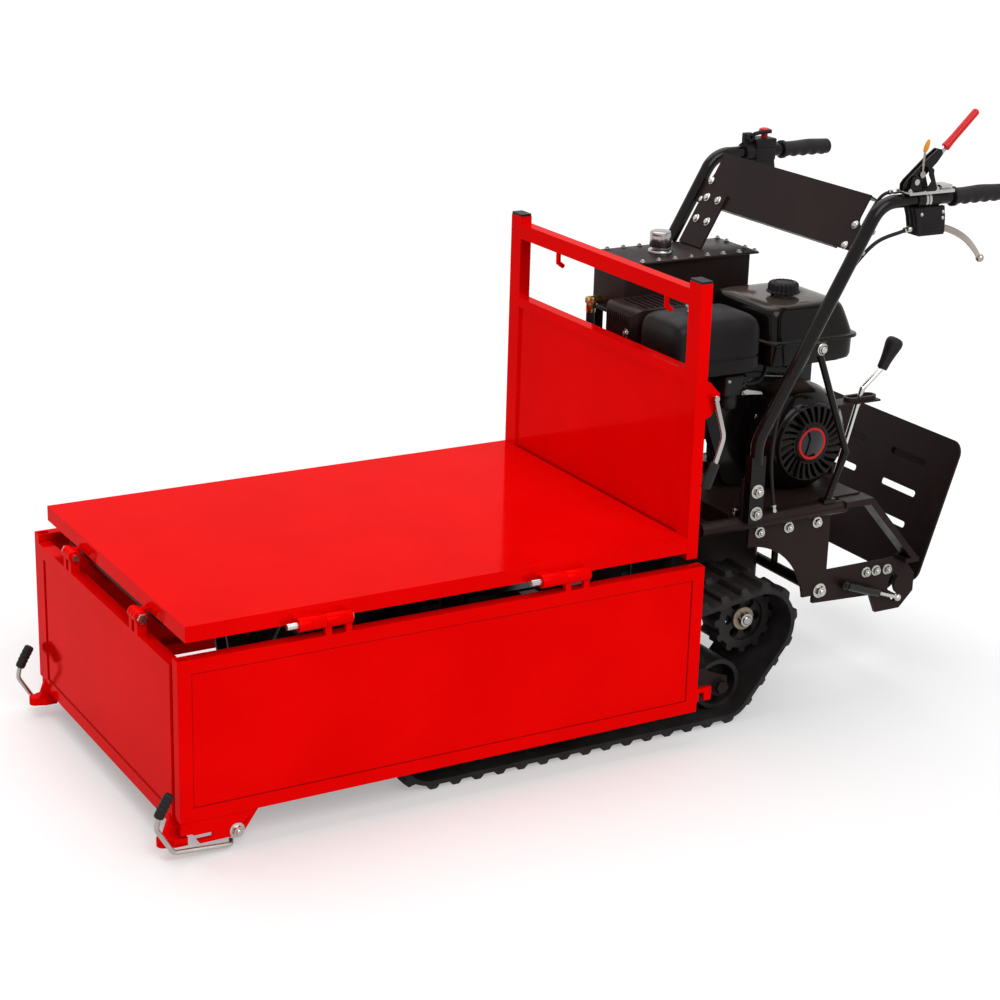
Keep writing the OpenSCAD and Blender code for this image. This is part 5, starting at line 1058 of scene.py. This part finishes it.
# %% [markdown]
# ## Gear lever
# The gear lever is a plated rod that leans back through a gate plate. A soft black knob, wider at the top, is
# pushed over its end.

# %% gear lever
shift_top = np.array([-0.824, 0.100, 0.632])
knob_lean = math.radians(28)
shift_dir = np.array([-math.sin(knob_lean), 0.0, math.cos(knob_lean)])
knob_rows = mm([[4, -2], [10.6, -2], [11.4, 0], [12, 6], [12.4, 14], [14.2, 28], [16.8, 42], [18.8, 52],
                [19.2, 58], [18, 63.6], [14.6, 67.6], [9, 69.6], [1, 70.2]])
knob = turned(knob_rows, shift_top, shift_dir, 40, lobes=6, depth=0.0006)
piece("soft_knob", [knob], grip_rubber, "shift", ["gear_knob"])
print("gear knob on", shift_top)

# %% [markdown]
# ## Small fixings on the handle
# Round-headed bolts hold the cross panel to the bars and the braces to their lugs. The panel leans as the
# bars do, so places on it are measured down its own slope from its top edge.

# %% dome bolts
KNEE, FOOT, FOOT_Z = 0.632, 0.372, 0.580
slope = math.atan2(HANDLE_Z - FOOT_Z, KNEE - FOOT)
down = np.array([math.cos(slope), 0.0, -math.sin(slope)])
face = np.array([math.sin(slope), 0.0, math.cos(slope)])
top = np.array([-0.6366, 0.0, 1.041])
heads = []
for y in (-0.246, 0.246):
    for d in (0.066, 0.111):
        heads += dome(top + down * d + face * 0.0017 + np.array([0, y, 0]), face, 0.0078)
        nut = top + down * d - face * 0.0132 + np.array([0, math.copysign(HANDLE_Y, y), 0])
        heads += bolt(nut, -face, 0.0060, washer=False)
for y in (-0.226, -0.186):
    for d in (0.104, 0.154):
        heads += dome(top + down * d + face * 0.0066 + np.array([0, y, 0]), face, 0.0082)
for side in (1, -1):
    heads += dome((-0.5117, side * 0.2861, 0.752), (0, side, 0), 0.0110)
plated("panel_bolts", heads)
print("dome bolts:", len(heads))

# %% [markdown]
# ## Platform stiffener
# A flat bar is welded across the back of the operator's platform, behind its top row of slots, so those slots
# look dark. The platform leans, so the bar's corners are turned about the hinge line by the same angle.

# %% stiffener
lean = math.radians(18.3)
hinge = np.array([rx(638), 0.200])
along = np.array([-math.sin(lean), math.cos(lean)])
away = np.array([-math.cos(lean), -math.sin(lean)])
back_face, slot_row, half_bar, bar_t = 0.038, 0.246, 0.019, 0.004
corners = [hinge + along * (slot_row + up) + away * (back_face + out)
           for up, out in ((-half_bar, 0), (half_bar, 0), (half_bar, bar_t), (-half_bar, bar_t))]
piece("platform_stiffener", [slab(corners, -0.205, 0.205, 0.0006)], black_coat, "foot_platform")
print("stiffener from", corners[0].round(3), "to", corners[2].round(3))

# %% [markdown]
# ## Panel seams
# Each drop side is a tube frame with a sheet let into it, sunk 2.5 mm. A thin bead runs round the foot of
# that step, painted a darker red than the faces as painted shade along the step.

# %% seams
FRAME_W, SUNK, BEAD_R = 0.026, 0.0025, 0.0015
SIDE_LOW, SIDE_HIGH, SIDE_OUT = 0.070, 0.375, 0.368
FRONT_LOW, FRONT_HIGH, FRONT_HALF = 0.056, 0.361, 0.338
# painted shade: a much darker red for the beads at the foot of each panel's step
painted_shade_red = finish("painted_shade_red", (0.26, 0.0005, 0.0005), (0.32, 0.0008, 0.0008), (0.20, 0.32), (420, 0.00002),
                  gloss=0.04)


def bead(corners, ref):
    """A thin round bead along each side of the rectangle that four corners make."""
    loop = np.asarray(corners, float)
    return [tube(np.stack([a, b]), BEAD_R, 10, ref=ref) for a, b in zip(loop, np.roll(loop, -1, axis=0))]


low, high = SIDE_LOW + FRAME_W, SIDE_HIGH - FRAME_W
back, front = rx(32) + FRAME_W, fx(-22) - FRAME_W
for name, side in SIDES:
    y = side * (SIDE_OUT - SUNK)
    seam = bead([(back, y, low), (front, y, low), (front, y, high), (back, y, high)], ACROSS)
    piece("painted_shade_seam_" + name, seam, painted_shade_red, "side_panel_" + name)
x, half, low, high = fx(-25) - SUNK, FRONT_HALF - FRAME_W, FRONT_LOW + FRAME_W, FRONT_HIGH - FRAME_W
seam = bead([(x, -half, low), (x, half, low), (x, half, high), (x, -half, high)], ALONG)
piece("painted_shade_seam_front", seam, painted_shade_red, "front_panel")
print("seams on three panels")
